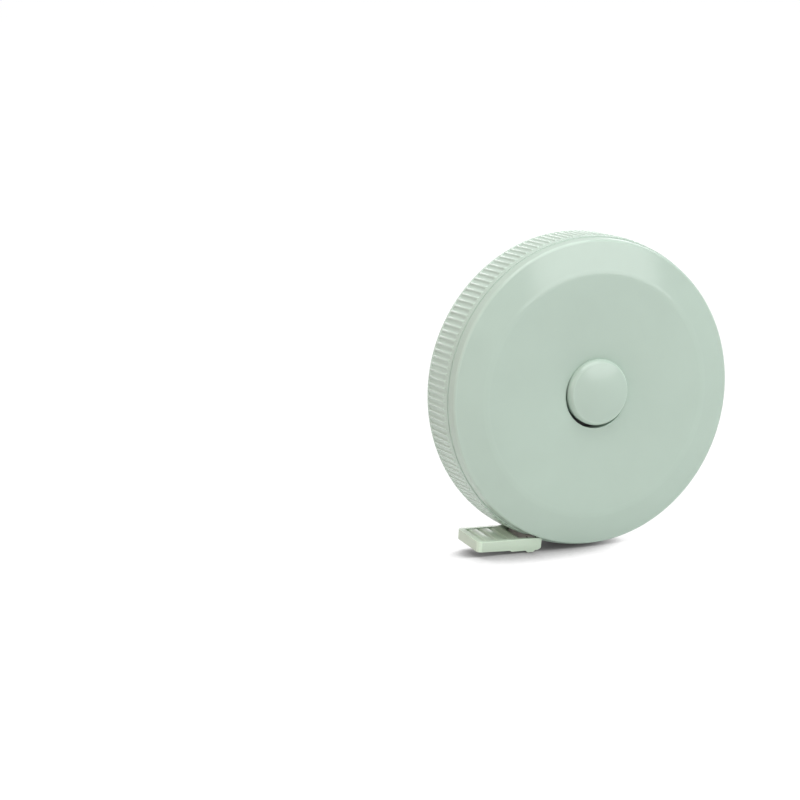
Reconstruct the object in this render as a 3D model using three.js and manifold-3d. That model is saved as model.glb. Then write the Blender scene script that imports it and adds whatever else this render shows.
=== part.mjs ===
// A retractable cloth tape measure: a round two-part case that stands on its ribbed rim, a sprung spool
// with the tape wound on it, a push-button brake in the middle of the front, and a pull tab on the tape.
// Millimetres, +Z up. The spool turns about Y, the front faces -Y and the tape leaves towards -X.
// The origin is the centre of the rear cover's flat face.
import * as THREE from 'three';
import { mergeVertices } from 'three/addons/utils/BufferGeometryUtils.js';
import Module from 'manifold-3d';

const wasm = await Module();
wasm.setup();

// Case outline
const RIM_DIAMETER = 50; // over the crests of the rim's ribs
const LIP_INSET = 0.6; // front cover's edge, inside the rib crests
const BEVEL_WIDTH = 5; // from the front cover's edge in to the middle of the flat's soft edge
const FACE_BLEND = 1; // radial width of the soft edge between a flat and its bevel
const BEVEL_RISE = 1.2; // how far each flat stands out from the edge of its bevel
const EDGE_RADIUS = 0.9; // rounding between a bevel and the rim
const COVER_WALL = 1.1;
const SEAM_DEPTH = 2.6; // from the front flat back to the seam between the covers

// Ribbed rim of the rear cover
const RIB_COUNT = 144;
const RIB_DEPTH = 0.3;
const RIB_CREST = 0.3; // width of a rib's flat top
const RIB_FOOT = 0.55; // width of a rib at its root
const BAND_INSET = 0.05; // smooth edge that the ribs run into at the rear, inside their crests
const BAND_WIDTH = 0.2;
const RIM_MARGIN = 1; // smooth band between the seam and the ribs
const RIB_STAND = 0.1; // how far the ribs' roots stand proud of the smooth band
const RIM_WALL = 1.4; // under the smooth band
const SPIGOT_WALL = 1.1; // ring of the front cover that enters the rear cover
const SPIGOT_LENGTH = 1.6;

// Fits
const FIT_GAP = 0.3; // between pieces that seat on or in each other
const RUN_GAP = 0.4; // between pieces that pass each other
const FINE_GAP = 0.2; // inside the pull tab

// Tape
const TAPE_LENGTH = 1500;
const TAPE_WIDTH = 6.4;
const TAPE_THICKNESS = 0.35;

// Spool
const HUB_RADIUS = 11;
const HUB_WALL = 1.2;
const FLANGE_THICKNESS = 0.7;
const FLANGE_EDGE_GAP = 0.1; // least room between a flange's edge and the sloping cover
const LID_RING_WALL = 0.8; // ring under the lid that centres it in the hub
const LID_RING_DEPTH = 1;
const ANCHOR_RADIUS = 0.35; // pin that holds the tape's inner end in the hub
const MAINSPRING_TURNS = 5;
const MAINSPRING_THICKNESS = 0.3;

// Arbor, fixed on the rear cover, that holds the mainspring's inner end and guides the brake
const ARBOR_RADIUS = 5.2;
const ARBOR_WALL = 0.9;
const BOSS_HEIGHT = 1; // on the rear cover, inside the arbor's foot
const KEY_COUNT = 3;
const KEY_WIDTH = 0.8;
const KEY_DEPTH = 0.6; // of the keyways in the arbor's wall
const SPRING_SLIT = 0.6;

// Push button and brake
const BUTTON_RADIUS = 5.2;
const BUTTON_STANDOUT = 1.7; // from the front flat to the crown of the button
const BUTTON_CROWN = 0.35; // rise of the dome
const BUTTON_EDGE = 0.8; // rounding round the dome
const BUTTON_WALL = 1;
const BUTTON_STROKE = 1.5;
const BUTTON_SKIRT = 1; // how far the skirt reaches inside the front flat
const BUTTON_PLAY = 0.4; // side room of the button in its hole, and of its stem and brake
const BUTTON_LEAN_ROOM = 0.1; // what is left of that room on the side where they lean
const BUTTON_LEAN = THREE.MathUtils.degToRad(70); // way that they lean: up, and a little to the right
const GUIDE_WALL = 0.8; // collar behind the front cover's hole
const GUIDE_DEPTH = 0.8;
const STEM_RADIUS = 2;
const STEM_SPIGOT_RADIUS = 1.2;
const SCREW_RADIUS = 0.55;
const SCREW_HEAD_RADIUS = 1.9;
const SCREW_HEAD_HEIGHT = 0.8;
const SCREW_LENGTH = 3;
const BRAKE_THICKNESS = 0.8;
const BRAKE_RING_THICKNESS = 0.5;
const BRAKE_RING_WIDTH = 1.4;
const WIRE_RADIUS = 0.2;
const BUTTON_SPRING_RADIUS = 2.9; // to the middle of the wire
const BUTTON_SPRING_TURNS = 3.5;

// Pull tab, at the end of the tape
const TAB_LENGTH = 10.9;
const TAB_WIDTH = 7.3;
const TAB_THICKNESS = 1.75;
const TAB_LIFT = THREE.MathUtils.degToRad(1.6); // the outer end is held up by this much
const TAB_PLACE = THREE.MathUtils.degToRad(20.4); // of its inner end round the rim, from straight down
const TAB_CORNER = 1.1; // plan rounding of the outer corners
const TAB_RIM = 0.6; // plain border round the grip
const GRIP_TEETH = 3;
const GRIP_PITCH = 1.35;
const GRIP_DEPTH = 0.4;
const THUMB_LENGTH = 2.6; // shallow hollow between the teeth and the collar
const THUMB_DEPTH = 0.3;
const CLASP_LENGTH = 5.2; // lower piece of the tab, that closes over the tape's loop
const CLASP_STEP = 0.2; // how far the clasp stands below the tab's underside
const TAB_PIN_RADIUS = 0.25; // cross pin in the tape's end loop
const TAB_PIN_INSET = 1.75; // from the tab's inner end
const LOOP_WALL = 0.25; // plastic round the loop's pocket

// Mouth of the case
const MOUTH_HEIGHT = 1.6;
const MOUTH_SIDE = 0.5; // room beside the tape

// Facets
const CASE_FACETS = 80;
const SPOOL_FACETS = 44;
const SMALL_FACETS = 28;
const CURVE_STEPS = 4;
const SPIRAL_STEPS = 20; // for each turn of the mainspring
const COIL_STEPS = 8; // for each turn of the button spring
const WIRE_SIDES = 5;

// Heights along the axis, from the rear flat at 0 to the front flat
const rearFloor = -COVER_WALL;
const drumRear = rearFloor - RUN_GAP;
const flangeFront = drumRear - FLANGE_THICKNESS;
const tapeRear = flangeFront - FIT_GAP;
const tapeFront = tapeRear - TAPE_WIDTH;
const tapeMiddle = (tapeRear + tapeFront) / 2;
const lidRear = tapeFront - FIT_GAP;
const lidFront = lidRear - FLANGE_THICKNESS;
const coverRoof = lidFront - RUN_GAP;
const frontFace = coverRoof - COVER_WALL;
const seam = frontFace + SEAM_DEPTH;
const rearEdge = seam + FIT_GAP;
const ribsFront = rearEdge + RIM_MARGIN;
const ribsRear = -BEVEL_RISE - EDGE_RADIUS - BAND_WIDTH;
const skirtEnd = frontFace + BUTTON_SKIRT;
const recessFront = skirtEnd + BUTTON_STROKE + RUN_GAP;
const recessRear = recessFront + FLANGE_THICKNESS;
const brakeRingFront = recessRear + FIT_GAP;
const brakeFront = brakeRingFront + BRAKE_RING_THICKNESS;
const brakeRear = brakeFront + BRAKE_THICKNESS;
const arborFront = recessRear + RUN_GAP;
const bossFront = rearFloor - BOSS_HEIGHT;

// Radii from the axis outwards
const crestRadius = RIM_DIAMETER / 2;
const rootRadius = crestRadius - RIB_DEPTH;
const marginRadius = rootRadius - RIB_STAND;
const rimInner = marginRadius - RIM_WALL;
const bandRadius = crestRadius - BAND_INSET;
const lipRadius = crestRadius - LIP_INSET;
const spigotOuter = rimInner - FIT_GAP;
const spigotInner = spigotOuter - SPIGOT_WALL;
const faceRadius = lipRadius - BEVEL_WIDTH;
const arborBore = ARBOR_RADIUS - ARBOR_WALL;
const drumBore = ARBOR_RADIUS + FIT_GAP;
const hubInner = HUB_RADIUS - HUB_WALL;
const holeRadius = BUTTON_RADIUS + BUTTON_PLAY;
const guideRadius = holeRadius + GUIDE_WALL;
const recessRadius = guideRadius + RUN_GAP;
const brakeRadius = arborBore - BUTTON_PLAY;
const coilInner = HUB_RADIUS + FIT_GAP;
const frontSlope = BEVEL_RISE / BEVEL_WIDTH;
const flangeRadius = faceRadius + (RUN_GAP - FLANGE_EDGE_GAP) / frontSlope;
const coilOuter = Math.sqrt(coilInner ** 2 + (TAPE_LENGTH * TAPE_THICKNESS) / Math.PI);

// Pull tab and tape loop, in the tab's own frame: x out of its inner end, z up from its top
const loopInner = TAB_PIN_RADIUS + FINE_GAP;
const loopOuter = loopInner + TAPE_THICKNESS;
const loopPocket = loopOuter + FINE_GAP;
const claspBulge = loopPocket + LOOP_WALL;
const pinDepth = claspBulge; // the tab parts here, and the wall over the loop is flush with its top

// Place of the tab: the clasp's bulge stands on the same floor as the rim
const tabInnerX = -crestRadius * Math.sin(TAB_PLACE);
const pinZ = -crestRadius + claspBulge;
const tabTopZ = pinZ + pinDepth * Math.cos(TAB_LIFT) - TAB_PIN_INSET * Math.sin(TAB_LIFT);
const pinX = tabInnerX - TAB_PIN_INSET * Math.cos(TAB_LIFT) - pinDepth * Math.sin(TAB_LIFT);

// Straight run of tape, tangent to the winding and to the loop round the tab's pin
const runRadius = coilOuter + FIT_GAP + TAPE_THICKNESS / 2;
const loopMiddle = loopInner + TAPE_THICKNESS / 2;
const pinReach = Math.hypot(pinX, pinZ);
const pinAngle = Math.atan2(pinZ, pinX);
const runNormal = pinAngle + Math.acos((runRadius - loopMiddle) / pinReach);
const runLength = Math.sqrt(pinReach ** 2 - (runRadius - loopMiddle) ** 2);
const runDirection = runNormal - Math.PI / 2;

const PLASTIC = { color: 0xb9cfc1, roughness: 0.38, metalness: 0 };
const NYLON = { color: 0x3f3f41, roughness: 0.5, metalness: 0 };
const CLOTH = { color: 0xf2efe4, roughness: 0.7, metalness: 0 };
const STEEL = { color: 0x9aa0a6, roughness: 0.3, metalness: 1 };
const RUBBER = { color: 0x2b2d2f, roughness: 0.85, metalness: 0 };

// Welds a geometry's corners, drops collapsed triangles and turns its faces outwards
function weld(geometry) {
  geometry.deleteAttribute('normal');
  geometry.deleteAttribute('uv');
  const welded = mergeVertices(geometry);
  const at = welded.index.array;
  const corners = [];
  const [a, b, c] = [new THREE.Vector3(), new THREE.Vector3(), new THREE.Vector3()];
  let volume = 0;
  for (let i = 0; i < at.length; i += 3) {
    if (at[i] === at[i + 1] || at[i + 1] === at[i + 2] || at[i + 2] === at[i]) continue;
    a.fromBufferAttribute(welded.attributes.position, at[i]);
    b.fromBufferAttribute(welded.attributes.position, at[i + 1]);
    c.fromBufferAttribute(welded.attributes.position, at[i + 2]);
    volume += a.dot(b.cross(c));
    corners.push(at[i], at[i + 1], at[i + 2]);
  }
  if (volume < 0) corners.reverse();
  welded.setIndex(corners);
  return welded;
}

function toSolid(geometry) {
  const welded = weld(geometry);
  const vertProperties = new Float32Array(welded.attributes.position.array);
  const triVerts = new Uint32Array(welded.index.array);
  return new wasm.Manifold(new wasm.Mesh({ numProp: 3, vertProperties, triVerts }));
}

function toGeometry(solid) {
  const mesh = solid.getMesh();
  const geometry = new THREE.BufferGeometry();
  geometry.setAttribute('position', new THREE.BufferAttribute(mesh.vertProperties, 3));
  geometry.setIndex(new THREE.BufferAttribute(mesh.triVerts, 1));
  return geometry;
}

function join(base, ...others) {
  return toGeometry(others.reduce((sum, other) => sum.add(toSolid(other)), toSolid(base)));
}

function cut(base, ...tools) {
  return toGeometry(tools.reduce((rest, tool) => rest.subtract(toSolid(tool)), toSolid(base)));
}

// A turned piece: the path runs in (radius, height along the axis)
function turned(path, facets) {
  return new THREE.LatheGeometry(path.getPoints(CURVE_STEPS), facets);
}

// A plain ring of rectangular section between two radii and two heights
function ring(inner, outer, from, to, facets) {
  const path = new THREE.Path();
  path.moveTo(inner, from);
  path.lineTo(outer, from);
  path.lineTo(outer, to);
  path.lineTo(inner, to);
  path.lineTo(inner, from);
  return turned(path, facets);
}

function pin(radius, from, to, facets) {
  const geometry = new THREE.CylinderGeometry(radius, radius, to - from, facets);
  return geometry.translate(0, (from + to) / 2, 0);
}

function block(xs, ys, zs) {
  const geometry = new THREE.BoxGeometry(xs[1] - xs[0], ys[1] - ys[0], zs[1] - zs[0]);
  return geometry.translate((xs[0] + xs[1]) / 2, (ys[0] + ys[1]) / 2, (zs[0] + zs[1]) / 2);
}

// A point of an outline drawn round the axis
function polar(radius, angle) {
  return new THREE.Vector2(radius * Math.cos(angle), radius * Math.sin(angle));
}

// Extrudes a plan drawn in (x, y) upwards
function slabUp(shape, from, to, curveSegments = CURVE_STEPS) {
  const options = { depth: to - from, bevelEnabled: false, curveSegments };
  return new THREE.ExtrudeGeometry(shape, options).translate(0, 0, from);
}

// Extrudes a shape drawn in (x, z) along y, from the lower to the higher height
function slab(shape, from, to, curveSegments = CURVE_STEPS) {
  return slabUp(shape, -to, -from, curveSegments).rotateX(Math.PI / 2);
}

// Adds a cover's outside to a path: flat, soft edge, bevel and rounded edge
function addCoverFace(path, edge, face, inward) {
  const slope = BEVEL_RISE / (edge - faceRadius);
  const half = FACE_BLEND / 2;
  path.lineTo(faceRadius - half, face);
  path.quadraticCurveTo(faceRadius, face, faceRadius + half, face + inward * slope * half);
  path.lineTo(edge - EDGE_RADIUS, face + inward * (BEVEL_RISE - slope * EDGE_RADIUS));
  const bevelFoot = face + inward * BEVEL_RISE;
  path.quadraticCurveTo(edge, bevelFoot, edge, bevelFoot + inward * EDGE_RADIUS);
}

// Slot along the straight run of tape, through the rim of both covers
function mouthTool() {
  const width = TAPE_WIDTH + 2 * MOUTH_SIDE;
  const length = crestRadius;
  const tool = new THREE.BoxGeometry(length, width, MOUTH_HEIGHT);
  const middle = Math.sqrt(spigotInner ** 2 - runRadius ** 2) + length / 2 - RUN_GAP;
  tool.rotateY(-runDirection);
  return tool.translate(
    runRadius * Math.cos(runNormal) + middle * Math.cos(runDirection),
    tapeMiddle,
    runRadius * Math.sin(runNormal) + middle * Math.sin(runDirection),
  );
}

// Recess in the rim of both covers that the tab's inner end lies in, open the way that the tab is pulled
function recessTool() {
  const half = TAB_WIDTH / 2 + FIT_GAP;
  const tool = block([-TAB_LENGTH, FIT_GAP], [-half, half], [-2 * TAB_LENGTH, FIT_GAP]);
  return tool.rotateY(TAB_LIFT).translate(tabInnerX, tapeMiddle, tabTopZ);
}

function frontCover() {
  const path = new THREE.Path();
  path.moveTo(holeRadius, frontFace);
  addCoverFace(path, lipRadius, frontFace, 1);
  path.lineTo(lipRadius, seam);
  path.lineTo(spigotOuter, seam);
  path.lineTo(spigotOuter, seam + SPIGOT_LENGTH);
  path.lineTo(spigotInner, seam + SPIGOT_LENGTH);
  path.lineTo(spigotInner, coverRoof + frontSlope * (spigotInner - faceRadius));
  path.lineTo(faceRadius, coverRoof);
  path.lineTo(guideRadius, coverRoof);
  path.lineTo(guideRadius, coverRoof + GUIDE_DEPTH);
  path.lineTo(holeRadius, coverRoof + GUIDE_DEPTH);
  path.lineTo(holeRadius, frontFace);
  return cut(turned(path, CASE_FACETS), mouthTool(), recessTool());
}

// Ring of ribs round the rim, each a low trapezoid running along the axis
function ribRing() {
  const step = (2 * Math.PI) / RIB_COUNT;
  const corners = [
    [rootRadius, -RIB_FOOT / 2],
    [crestRadius, -RIB_CREST / 2],
    [crestRadius, RIB_CREST / 2],
    [rootRadius, RIB_FOOT / 2],
  ];
  const points = [];
  for (let rib = 0; rib < RIB_COUNT; rib += 1) {
    points.push(...corners.map(([radius, across]) => polar(radius, rib * step + across / radius)));
  }
  const outline = new THREE.Shape(points);
  const bore = new THREE.Path();
  bore.absarc(0, 0, marginRadius - RIM_WALL / 2, 0, 2 * Math.PI);
  outline.holes.push(bore);
  return slab(outline, ribsFront, ribsRear + BAND_WIDTH / 2, CASE_FACETS / 2);
}

function rearCover() {
  const innerSlope = BEVEL_RISE / (marginRadius - faceRadius);
  const path = new THREE.Path();
  path.moveTo(0, 0);
  addCoverFace(path, bandRadius, 0, -1);
  path.lineTo(bandRadius, ribsRear);
  path.lineTo(marginRadius, ribsRear);
  path.lineTo(marginRadius, rearEdge);
  path.lineTo(rimInner, rearEdge);
  path.lineTo(rimInner, rearFloor - innerSlope * (rimInner - faceRadius));
  path.lineTo(faceRadius, rearFloor);
  path.lineTo(arborBore - FIT_GAP, rearFloor);
  path.lineTo(arborBore - FIT_GAP, bossFront);
  path.lineTo(0, bossFront);
  const shell = join(turned(path, CASE_FACETS), ribRing());
  return cut(shell, mouthTool(), recessTool());
}

// Spreads copies of a tool evenly round the axis
function aroundAxis(count, make) {
  const angles = Array.from({ length: count }, (_, i) => (i * 2 * Math.PI) / count);
  return angles.map((angle) => make().rotateY(angle));
}

function springArbor() {
  const tube = ring(arborBore, ARBOR_RADIUS, arborFront, rearFloor, SMALL_FACETS);
  const keyHalf = KEY_WIDTH / 2 + BUTTON_PLAY;
  const keyEnd = brakeRear + BUTTON_STROKE + RUN_GAP;
  const keyTop = arborBore + KEY_DEPTH;
  const keyways = aroundAxis(KEY_COUNT, () =>
    block([0, keyTop], [arborFront - RUN_GAP, keyEnd], [-keyHalf, keyHalf]),
  );
  const slitHalf = SPRING_SLIT / 2;
  const slit = block([-2 * ARBOR_RADIUS, 0], [arborFront - RUN_GAP, tapeRear], [-slitHalf, slitHalf]);
  return cut(tube, ...keyways, slit);
}

function spoolDrum() {
  const path = new THREE.Path();
  path.moveTo(drumBore, drumRear);
  path.lineTo(flangeRadius, drumRear);
  path.lineTo(flangeRadius, flangeFront);
  path.lineTo(HUB_RADIUS, flangeFront);
  path.lineTo(HUB_RADIUS, lidRear);
  path.lineTo(hubInner, lidRear);
  path.lineTo(hubInner, flangeFront);
  path.lineTo(drumBore, flangeFront);
  path.lineTo(drumBore, drumRear);
  const notch = pin(ANCHOR_RADIUS + FINE_GAP, tapeFront - FIT_GAP / 2, tapeRear, SMALL_FACETS / 2);
  return cut(turned(path, SPOOL_FACETS), notch.translate(0, 0, HUB_RADIUS - ANCHOR_RADIUS));
}

function spoolLid() {
  const stemHole = STEM_RADIUS + BUTTON_PLAY;
  const ringOuter = hubInner - FIT_GAP;
  const path = new THREE.Path();
  path.moveTo(stemHole, recessFront);
  path.lineTo(recessRadius, recessFront);
  path.lineTo(recessRadius, lidFront);
  path.lineTo(flangeRadius, lidFront);
  path.lineTo(flangeRadius, lidRear);
  path.lineTo(ringOuter, lidRear);
  path.lineTo(ringOuter, lidRear + LID_RING_DEPTH);
  path.lineTo(ringOuter - LID_RING_WALL, lidRear + LID_RING_DEPTH);
  path.lineTo(ringOuter - LID_RING_WALL, lidRear);
  path.lineTo(recessRadius + FLANGE_THICKNESS, lidRear);
  path.lineTo(recessRadius + FLANGE_THICKNESS, recessRear);
  path.lineTo(stemHole, recessRear);
  path.lineTo(stemHole, recessFront);
  return turned(path, SPOOL_FACETS);
}

// The wound tape: its outer edge steps in by one thickness where the last turn leaves
function tapeCoil() {
  const steps = 2 * SPOOL_FACETS;
  const points = [];
  for (let i = 0; i < steps; i += 1) {
    const turn = i / (steps - 1);
    points.push(polar(coilOuter - TAPE_THICKNESS * turn, runNormal + 2 * Math.PI * turn));
  }
  const outline = new THREE.Shape(points);
  const bore = new THREE.Path();
  bore.absarc(0, 0, coilInner, 0, 2 * Math.PI);
  outline.holes.push(bore);
  return slab(outline, tapeFront, tapeRear, SPOOL_FACETS / 2);
}

// Flat spiral spring between the arbor and the hub
function mainspring() {
  const from = ARBOR_RADIUS + FIT_GAP;
  const to = hubInner - FIT_GAP;
  const half = MAINSPRING_THICKNESS / 2;
  const steps = MAINSPRING_TURNS * SPIRAL_STEPS;
  const outer = [];
  const inner = [];
  for (let i = 0; i <= steps; i += 1) {
    const angle = (2 * Math.PI * i) / SPIRAL_STEPS;
    const middle = THREE.MathUtils.lerp(from + half, to - half, i / steps);
    outer.push(polar(middle + half, angle));
    inner.push(polar(middle - half, angle));
  }
  const gaps = inner.slice(SPIRAL_STEPS).map((point, i) => point.distanceTo(outer[i]));
  console.log(`mainspring: least gap between turns ${Math.min(...gaps).toFixed(2)} mm`);
  const shape = new THREE.Shape([...outer, ...inner.reverse()]);
  return slab(shape, arborFront + RUN_GAP, tapeRear);
}

function pushButton() {
  const crown = frontFace - BUTTON_STANDOUT;
  const domeEnd = BUTTON_RADIUS - BUTTON_EDGE;
  const shoulder = crown + BUTTON_CROWN;
  const roof = crown + BUTTON_CROWN + BUTTON_WALL;
  const bore = SCREW_RADIUS + FIT_GAP;
  const path = new THREE.Path();
  path.moveTo(0, crown);
  path.quadraticCurveTo(domeEnd / 2, crown, domeEnd, shoulder);
  path.quadraticCurveTo(BUTTON_RADIUS, shoulder + BUTTON_CROWN, BUTTON_RADIUS, shoulder + BUTTON_EDGE);
  path.lineTo(BUTTON_RADIUS, skirtEnd);
  path.lineTo(BUTTON_RADIUS - BUTTON_WALL, skirtEnd);
  path.lineTo(BUTTON_RADIUS - BUTTON_WALL, roof);
  path.lineTo(STEM_RADIUS, roof);
  path.lineTo(STEM_RADIUS, brakeFront);
  path.lineTo(STEM_SPIGOT_RADIUS, brakeFront);
  path.lineTo(STEM_SPIGOT_RADIUS, brakeRear - FINE_GAP);
  path.lineTo(bore, brakeRear - FINE_GAP);
  path.lineTo(bore, brakeRear - SCREW_LENGTH - FIT_GAP);
  path.lineTo(0, brakeRear - SCREW_LENGTH - FIT_GAP);
  return turned(path, SPOOL_FACETS);
}

function brakeDisc() {
  const bore = STEM_SPIGOT_RADIUS + FIT_GAP;
  const disc = ring(bore, brakeRadius, brakeFront, brakeRear, SMALL_FACETS);
  const keyEnd = arborBore + KEY_DEPTH - BUTTON_PLAY;
  const keys = aroundAxis(KEY_COUNT, () =>
    block([bore + FIT_GAP, keyEnd], [brakeFront, brakeRear], [-KEY_WIDTH / 2, KEY_WIDTH / 2]),
  );
  return join(disc, ...keys);
}

function buttonScrew() {
  const path = new THREE.Path();
  path.moveTo(0, brakeRear - SCREW_LENGTH);
  path.lineTo(SCREW_RADIUS, brakeRear - SCREW_LENGTH + SCREW_RADIUS);
  path.lineTo(SCREW_RADIUS, brakeRear);
  path.lineTo(SCREW_HEAD_RADIUS, brakeRear);
  path.quadraticCurveTo(
    SCREW_HEAD_RADIUS,
    brakeRear + SCREW_HEAD_HEIGHT,
    SCREW_HEAD_RADIUS / 2,
    brakeRear + SCREW_HEAD_HEIGHT,
  );
  path.lineTo(0, brakeRear + SCREW_HEAD_HEIGHT);
  return turned(path, SMALL_FACETS / 2);
}

// A helix of wire about the axis
class Helix extends THREE.Curve {
  constructor(radius, from, to, turns) {
    super();
    Object.assign(this, { radius, from, to, turns });
  }

  getPoint(t, target = new THREE.Vector3()) {
    const angle = 2 * Math.PI * this.turns * t;
    const height = THREE.MathUtils.lerp(this.from, this.to, t);
    return target.set(this.radius * Math.cos(angle), height, this.radius * Math.sin(angle));
  }
}

function buttonSpring() {
  const from = brakeRear + FIT_GAP + WIRE_RADIUS;
  const to = bossFront - FIT_GAP - WIRE_RADIUS;
  const helix = new Helix(BUTTON_SPRING_RADIUS, from, to, BUTTON_SPRING_TURNS);
  const corner = (_, side) => polar(WIRE_RADIUS, (2 * Math.PI * side) / WIRE_SIDES);
  const wire = new THREE.Shape(Array.from({ length: WIRE_SIDES }, corner));
  const steps = BUTTON_SPRING_TURNS * COIL_STEPS;
  const gap = (to - from) / BUTTON_SPRING_TURNS - 2 * WIRE_RADIUS;
  console.log(`button spring: least gap between turns ${gap.toFixed(2)} mm`);
  return new THREE.ExtrudeGeometry(wire, { steps, extrudePath: helix, bevelEnabled: false });
}

// Outermost stretch of tape: straight from the winding to the tab, ending in a loop round the tab's pin
function tapeLeader() {
  const half = TAPE_THICKNESS / 2;
  const inside = polar(runRadius - half, runNormal);
  const outside = polar(runRadius + half, runNormal);
  const turnIn = outside.clone().add(polar(runLength, runDirection));
  const closing = Math.acos(loopInner / loopOuter);
  const shape = new THREE.Shape();
  shape.moveTo(inside.x, inside.y);
  shape.lineTo(outside.x, outside.y);
  shape.lineTo(turnIn.x, turnIn.y);
  shape.absarc(pinX, pinZ, loopOuter, runNormal, runNormal + closing - 2 * Math.PI, true);
  shape.closePath();
  const eye = new THREE.Path();
  eye.absarc(pinX, pinZ, loopInner, 0, 2 * Math.PI);
  shape.holes.push(eye);
  return slab(shape, tapeFront, tapeRear, SMALL_FACETS / 2);
}

// Plan outline of the tab with rounded outer corners, in the tab's own frame
function tabPlan() {
  const half = TAB_WIDTH / 2;
  const plan = new THREE.Shape();
  plan.moveTo(0, -half);
  plan.lineTo(0, half);
  plan.lineTo(-TAB_LENGTH + TAB_CORNER, half);
  plan.absarc(-TAB_LENGTH + TAB_CORNER, half - TAB_CORNER, TAB_CORNER, Math.PI / 2, Math.PI);
  plan.absarc(-TAB_LENGTH + TAB_CORNER, -half + TAB_CORNER, TAB_CORNER, Math.PI, 1.5 * Math.PI);
  plan.closePath();
  return plan;
}

// Sawtooth grip and thumb hollow, cut down from the tab's top
function gripTool() {
  const top = 2 * GRIP_DEPTH;
  const start = -TAB_LENGTH + TAB_RIM + TAB_CORNER / 2;
  const profile = new THREE.Shape();
  profile.moveTo(start, top);
  profile.lineTo(start, 0);
  for (let tooth = 0; tooth < GRIP_TEETH; tooth += 1) {
    const at = start + tooth * GRIP_PITCH;
    profile.lineTo(at, tooth ? -GRIP_DEPTH / 4 : 0);
    profile.lineTo(at + GRIP_PITCH - FINE_GAP, -GRIP_DEPTH);
  }
  const hollow = start + GRIP_TEETH * GRIP_PITCH;
  profile.lineTo(hollow, -THUMB_DEPTH);
  profile.lineTo(hollow + THUMB_LENGTH, -THUMB_DEPTH);
  profile.lineTo(hollow + THUMB_LENGTH, top);
  profile.closePath();
  return slab(profile, -TAB_WIDTH / 2 + TAB_RIM, TAB_WIDTH / 2 - TAB_RIM);
}

// Pocket for the loop and the way in for the straight run, in the tab's own frame
function loopTools() {
  const half = TAPE_WIDTH / 2 + FINE_GAP;
  const rise = TAPE_THICKNESS / 2 + FINE_GAP;
  const pocket = pin(loopPocket, -half, half, SMALL_FACETS);
  const way = block([0, 2 * CLASP_LENGTH], [-half, half], [-loopMiddle - rise, -loopMiddle + rise]);
  way.rotateY(Math.PI - runDirection - TAB_LIFT);
  return [pocket, way].map((tool) => tool.translate(-TAB_PIN_INSET, 0, -pinDepth));
}

function tabUpper() {
  const body = slabUp(tabPlan(), -TAB_THICKNESS, 0);
  const claspRoom = block(
    [-CLASP_LENGTH - FINE_GAP, TAB_WIDTH],
    [-TAB_WIDTH, TAB_WIDTH],
    [-2 * TAB_THICKNESS, -pinDepth],
  );
  return cut(body, gripTool(), claspRoom, ...loopTools());
}

function tabLower() {
  const half = TAB_WIDTH / 2;
  const top = -pinDepth - FINE_GAP;
  const plate = block([-CLASP_LENGTH, 0], [-half, half], [-TAB_THICKNESS - CLASP_STEP, top]);
  const bulge = pin(claspBulge, -half, half, SMALL_FACETS).translate(-TAB_PIN_INSET, 0, -pinDepth);
  const above = block([-TAB_LENGTH, TAB_LENGTH], [-TAB_WIDTH, TAB_WIDTH], [top, TAB_WIDTH]);
  return cut(join(plate, bulge), above, ...loopTools());
}

function named(name, geometry, finish) {
  const mesh = new THREE.Mesh(weld(geometry), new THREE.MeshStandardMaterial(finish));
  mesh.name = name;
  return mesh;
}

const tapeMeasure = new THREE.Group();

const caseGroup = new THREE.Group();
caseGroup.add(
  named('front_cover', frontCover(), PLASTIC),
  named('rear_cover', rearCover(), PLASTIC),
  named('spring_arbor', springArbor(), NYLON),
);

const spoolGroup = new THREE.Group();
const anchor = pin(ANCHOR_RADIUS, tapeFront, tapeRear - FIT_GAP, SMALL_FACETS / 2);
spoolGroup.add(
  named('spool_drum', spoolDrum(), NYLON),
  named('spool_lid', spoolLid(), NYLON),
  named('tape_coil', tapeCoil(), CLOTH),
  named('tape_anchor_pin', anchor.translate(0, 0, HUB_RADIUS - ANCHOR_RADIUS), STEEL),
  named('mainspring', mainspring(), STEEL),
);

const buttonGroup = new THREE.Group();
const lean = polar(BUTTON_PLAY - BUTTON_LEAN_ROOM, BUTTON_LEAN);
buttonGroup.position.set(lean.x, 0, lean.y);
const brakeRingOuter = STEM_RADIUS + RUN_GAP + BRAKE_RING_WIDTH;
buttonGroup.add(
  named('push_button', pushButton(), PLASTIC),
  named('brake_disc', brakeDisc(), NYLON),
  named(
    'brake_ring',
    ring(STEM_RADIUS + RUN_GAP, brakeRingOuter, brakeRingFront, brakeFront, SMALL_FACETS),
    RUBBER,
  ),
  named('button_screw', buttonScrew(), STEEL),
  named('button_spring', buttonSpring(), STEEL),
);

const tabGroup = new THREE.Group();
tabGroup.position.set(tabInnerX, tapeMiddle, tabTopZ);
tabGroup.rotation.y = TAB_LIFT;
const crossPin = pin(TAB_PIN_RADIUS, -TAPE_WIDTH / 2, TAPE_WIDTH / 2, SMALL_FACETS / 2);
tabGroup.add(
  named('tab_upper', tabUpper(), PLASTIC),
  named('tab_lower', tabLower(), PLASTIC),
  named('tab_pin', crossPin.translate(-TAB_PIN_INSET, 0, -pinDepth), STEEL),
);

const tapeEndGroup = new THREE.Group();
tapeEndGroup.add(named('tape_leader', tapeLeader(), CLOTH), tabGroup);

tapeMeasure.add(caseGroup, spoolGroup, buttonGroup, tapeEndGroup);

export default tapeMeasure;
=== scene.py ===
"""Looks of a retractable cloth tape measure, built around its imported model.

Metres, +Z up. The front faces -Y, the spool turns about Y and the tape leaves towards -X.
"""

import logging
import math
from dataclasses import dataclass
from enum import Enum
from typing import Iterable, Optional, Sequence

import bmesh
import bpy
from mathutils import Matrix, Vector


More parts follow.
